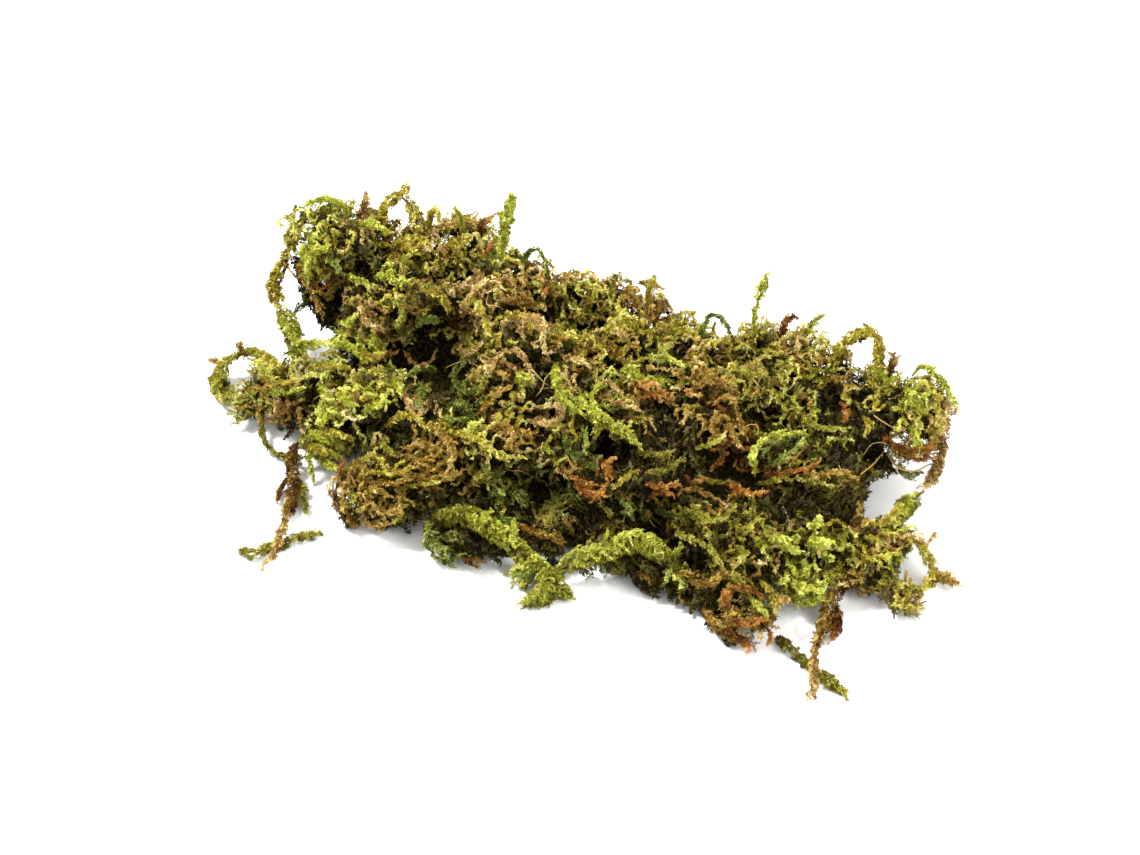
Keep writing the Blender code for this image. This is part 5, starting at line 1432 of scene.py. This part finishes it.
def light_on(axes, air):
    """Painted shade at the root and the tip of each axis, from the open sky there."""
    tip = axes["start"] + axes["length"][:, None] * (axes["way"] + 0.5 * axes["bend"])
    return [sky_to_shade(air.open_sky(where)) for where in (axes["start"] * 0.8 + tip * 0.2, tip)]


def sky_to_shade(sky):
    """How far up the painted-shade palette a place with that share of open sky stands."""
    return np.clip(0.05 + 1.15 * sky ** 0.75, 0.03, 0.95)


skin = Skin(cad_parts["moss_mat"].data)
materials = {kind: moss_leaf(*AGES[kind]) for kind in KINDS}

mat_rows = np.array(tuft_fronds(skin) + old_fronds(skin))
mat_points, mat_ups = grow_spines(mat_rows, skin)
clear = ~over_gap(mat_points)
mat_rows, mat_points, mat_ups = mat_rows[clear], mat_points[clear], mat_ups[clear]
rooted = skin.at(mat_points[:, ROOT_STEPS])[0] < -1.0  # the others are leafy from their start
mat_rows["bare"][~rooted] = 0.0
stem_rows, stem_points = bare_stems(skin)
flat_rows, flat_points = underside_spines(skin)
loose_rows, loose_points = all_strands(skin)
fronds = np.concatenate([mat_rows, np.array(stem_rows + flat_rows + loose_rows)])
points = np.concatenate([mat_points, np.array(stem_points + flat_points + loose_points)])
others = len(fronds) - len(mat_rows)
ups = np.concatenate([mat_ups, np.tile(np.array((0.0, -0.3, 1.0)), (others, SPINE_STEPS + 1, 1))])
along_stem = np.linspace(0, 1, SPINE_STEPS + 1)
swell = np.interp(along_stem, (0, 0.2, 0.4, 0.7, 0.95, 1), (0.5, 0.8, 1.0, 0.95, 0.6, 0.4))
reaches = fronds["branch"][:, None] * swell

branch, stem = dress(fronds, points, ups, reaches)
axes = np.concatenate([branch, stem])
leaves, axis, along, swelling = make_leaves(axes)
leaf_areas = np.linalg.norm(np.cross(leaves[:, 1] - leaves[:, 0], leaves[:, 2] - leaves[:, 0]), axis=1) / 2
air = Air(leaves[:, 2], leaf_areas, skin)

triangles = [leaves]
places = [shade_leaves(leaves, axis, along, swelling, axes, light_on(axes, air))]
owners = [axes["owner"][axis]]
smooth = (fronds["pitch"] > 1) | ((fronds["shoot"] >= 0) & (fronds["stem"] > 0.2))
plain = ~smooth & (fronds["stem"] > 0)
for chosen, make, rings, stride in ((smooth, make_tubes, 9, 3), (plain, make_ribbons, 4, 7)):
    pick = np.nonzero(chosen)[0]
    tubes, tube_owner = make(points[pick][:, ::stride][:, :rings],
                             fronds["stem"][pick][:, None] * np.linspace(1, 0.5, rings))
    tube_owner = pick[tube_owner]
    triangles.append(tubes)
    places.append(tube_places(tube_owner, fronds, sky_to_shade(air.open_sky(tubes.mean(1)))))
    owners.append(tube_owner)
triangles, places, owners = (np.concatenate(parts) for parts in (triangles, places, owners))
# each shoot's painted light and shade scales its place up the painted-shade palette
places[:, :, 1] *= fronds["dim"][owners][:, None]

kinds = fronds["kind"][owners]
shoots = fronds["shoot"][owners]
for number, kind in enumerate(KINDS):
    mine = np.nonzero((kinds == number) & (shoots < 0))[0]
    x = triangles[mine][:, 0, 0]
    shares = max(1, math.ceil(len(mine) / PIECE_TRIANGLES))
    edges = np.quantile(x, np.linspace(0, 1, shares + 1))
    edges[-1] += 1
    for share in range(shares):
        name = f"mat_{kind}_shoots" + (f"_{share + 1}" if shares > 1 else "")
        pick = mine[(x >= edges[share]) & (x < edges[share + 1])]
        add_piece(name, triangles[pick], places[pick], materials[kind], ["moss_mat"])
for number, (name, kind, _, _) in enumerate(SHOOTS):
    pick = shoots == number
    add_piece(name + "_leaves", triangles[pick], places[pick], materials[kind], [name])

# The matted inside: the mat's own form, drawn in step by step
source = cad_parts["moss_mat"].data
inner = bpy.data.objects.new("mat_thatch", source.copy())
bpy.context.scene.collection.objects.link(inner)
inner.data.materials.clear()
inner.data.materials.append(thatch_material())
inner_points = np.empty(len(inner.data.vertices) * 3)
inner.data.vertices.foreach_get("co", inner_points)
inner_points = inner_points.reshape(-1, 3) / MM
for _ in range(6):
    height, out = skin.at(inner_points)
    inner_points -= out * np.clip(height + THATCH_DEPTH, 0, 2)[:, None]
inner_points[:, 2] = np.maximum(inner_points[:, 2], 0.6)
inner.data.vertices.foreach_set("co", (inner_points * MM).ravel())
inner.data.update()
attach(inner, "root")
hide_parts("moss_mat")

# ---------------------------------------------------------------- studio

floor_mesh = bpy.data.meshes.new("floor")
floor_mesh.from_pydata([(-3, -3, 0), (3, -3, 0), (3, 3, 0), (-3, 3, 0)], [], [(0, 1, 2, 3)])
floor = bpy.data.objects.new("floor", floor_mesh)
bpy.context.scene.collection.objects.link(floor)
paper = bpy.data.materials.new("white_paper")
paper.use_nodes = True
paper.node_tree.nodes["Principled BSDF"].inputs["Base Color"].default_value = colour("#f4f4f2")
paper.node_tree.nodes["Principled BSDF"].inputs["Roughness"].default_value = 0.9
floor_mesh.materials.append(paper)


def add_lamp(name, where, size, watts):
    lamp = bpy.data.lights.new(name, "AREA")
    lamp.shape = "DISK"
    lamp.size = size
    lamp.energy = watts
    holder = bpy.data.objects.new(name, lamp)
    bpy.context.scene.collection.objects.link(holder)
    holder.location = where
    holder.rotation_euler = (-Vector(where)).to_track_quat("-Z", "Y").to_euler()


add_lamp("key", (-0.55, 0.22, 0.8), 0.26, 19.5)
add_lamp("fill", (0.75, -0.5, 0.6), 0.8, 12)

world = bpy.data.worlds.new("studio")
bpy.context.scene.world = world
world.use_nodes = True
world.node_tree.nodes["Background"].inputs["Color"].default_value = colour("#ffffff")
world.node_tree.nodes["Background"].inputs["Strength"].default_value = 1.12

bpy.context.scene.view_settings.view_transform = "Standard"

PIXEL = 0.21  # mm of the clump that a pixel of the photograph covers
PHOTO_WIDTH = 1140
AIM_RIGHT, AIM_UP = -5, 2.5  # pixels from the clump's origin to the middle of the photograph
LENS_DISTANCE = 1.2  # metres: a long lens, so that far shoots look nearly as large as near ones
camera_data = bpy.data.cameras.new("camera")
camera_data.sensor_width = 36
camera_data.lens = camera_data.sensor_width * LENS_DISTANCE / (PHOTO_WIDTH * PIXEL * MM)
camera_data.clip_end = 20
camera = bpy.data.objects.new("camera", camera_data)
bpy.context.scene.collection.objects.link(camera)
aim = Vector(VIEW_RIGHT) * (AIM_RIGHT * PIXEL * MM) + Vector(VIEW_UP) * (AIM_UP * PIXEL * MM)
camera.location = aim - Vector(VIEW_IN) * LENS_DISTANCE
camera.rotation_euler = Vector(VIEW_IN).to_track_quat("-Z", "Y").to_euler()
bpy.context.scene.camera = camera
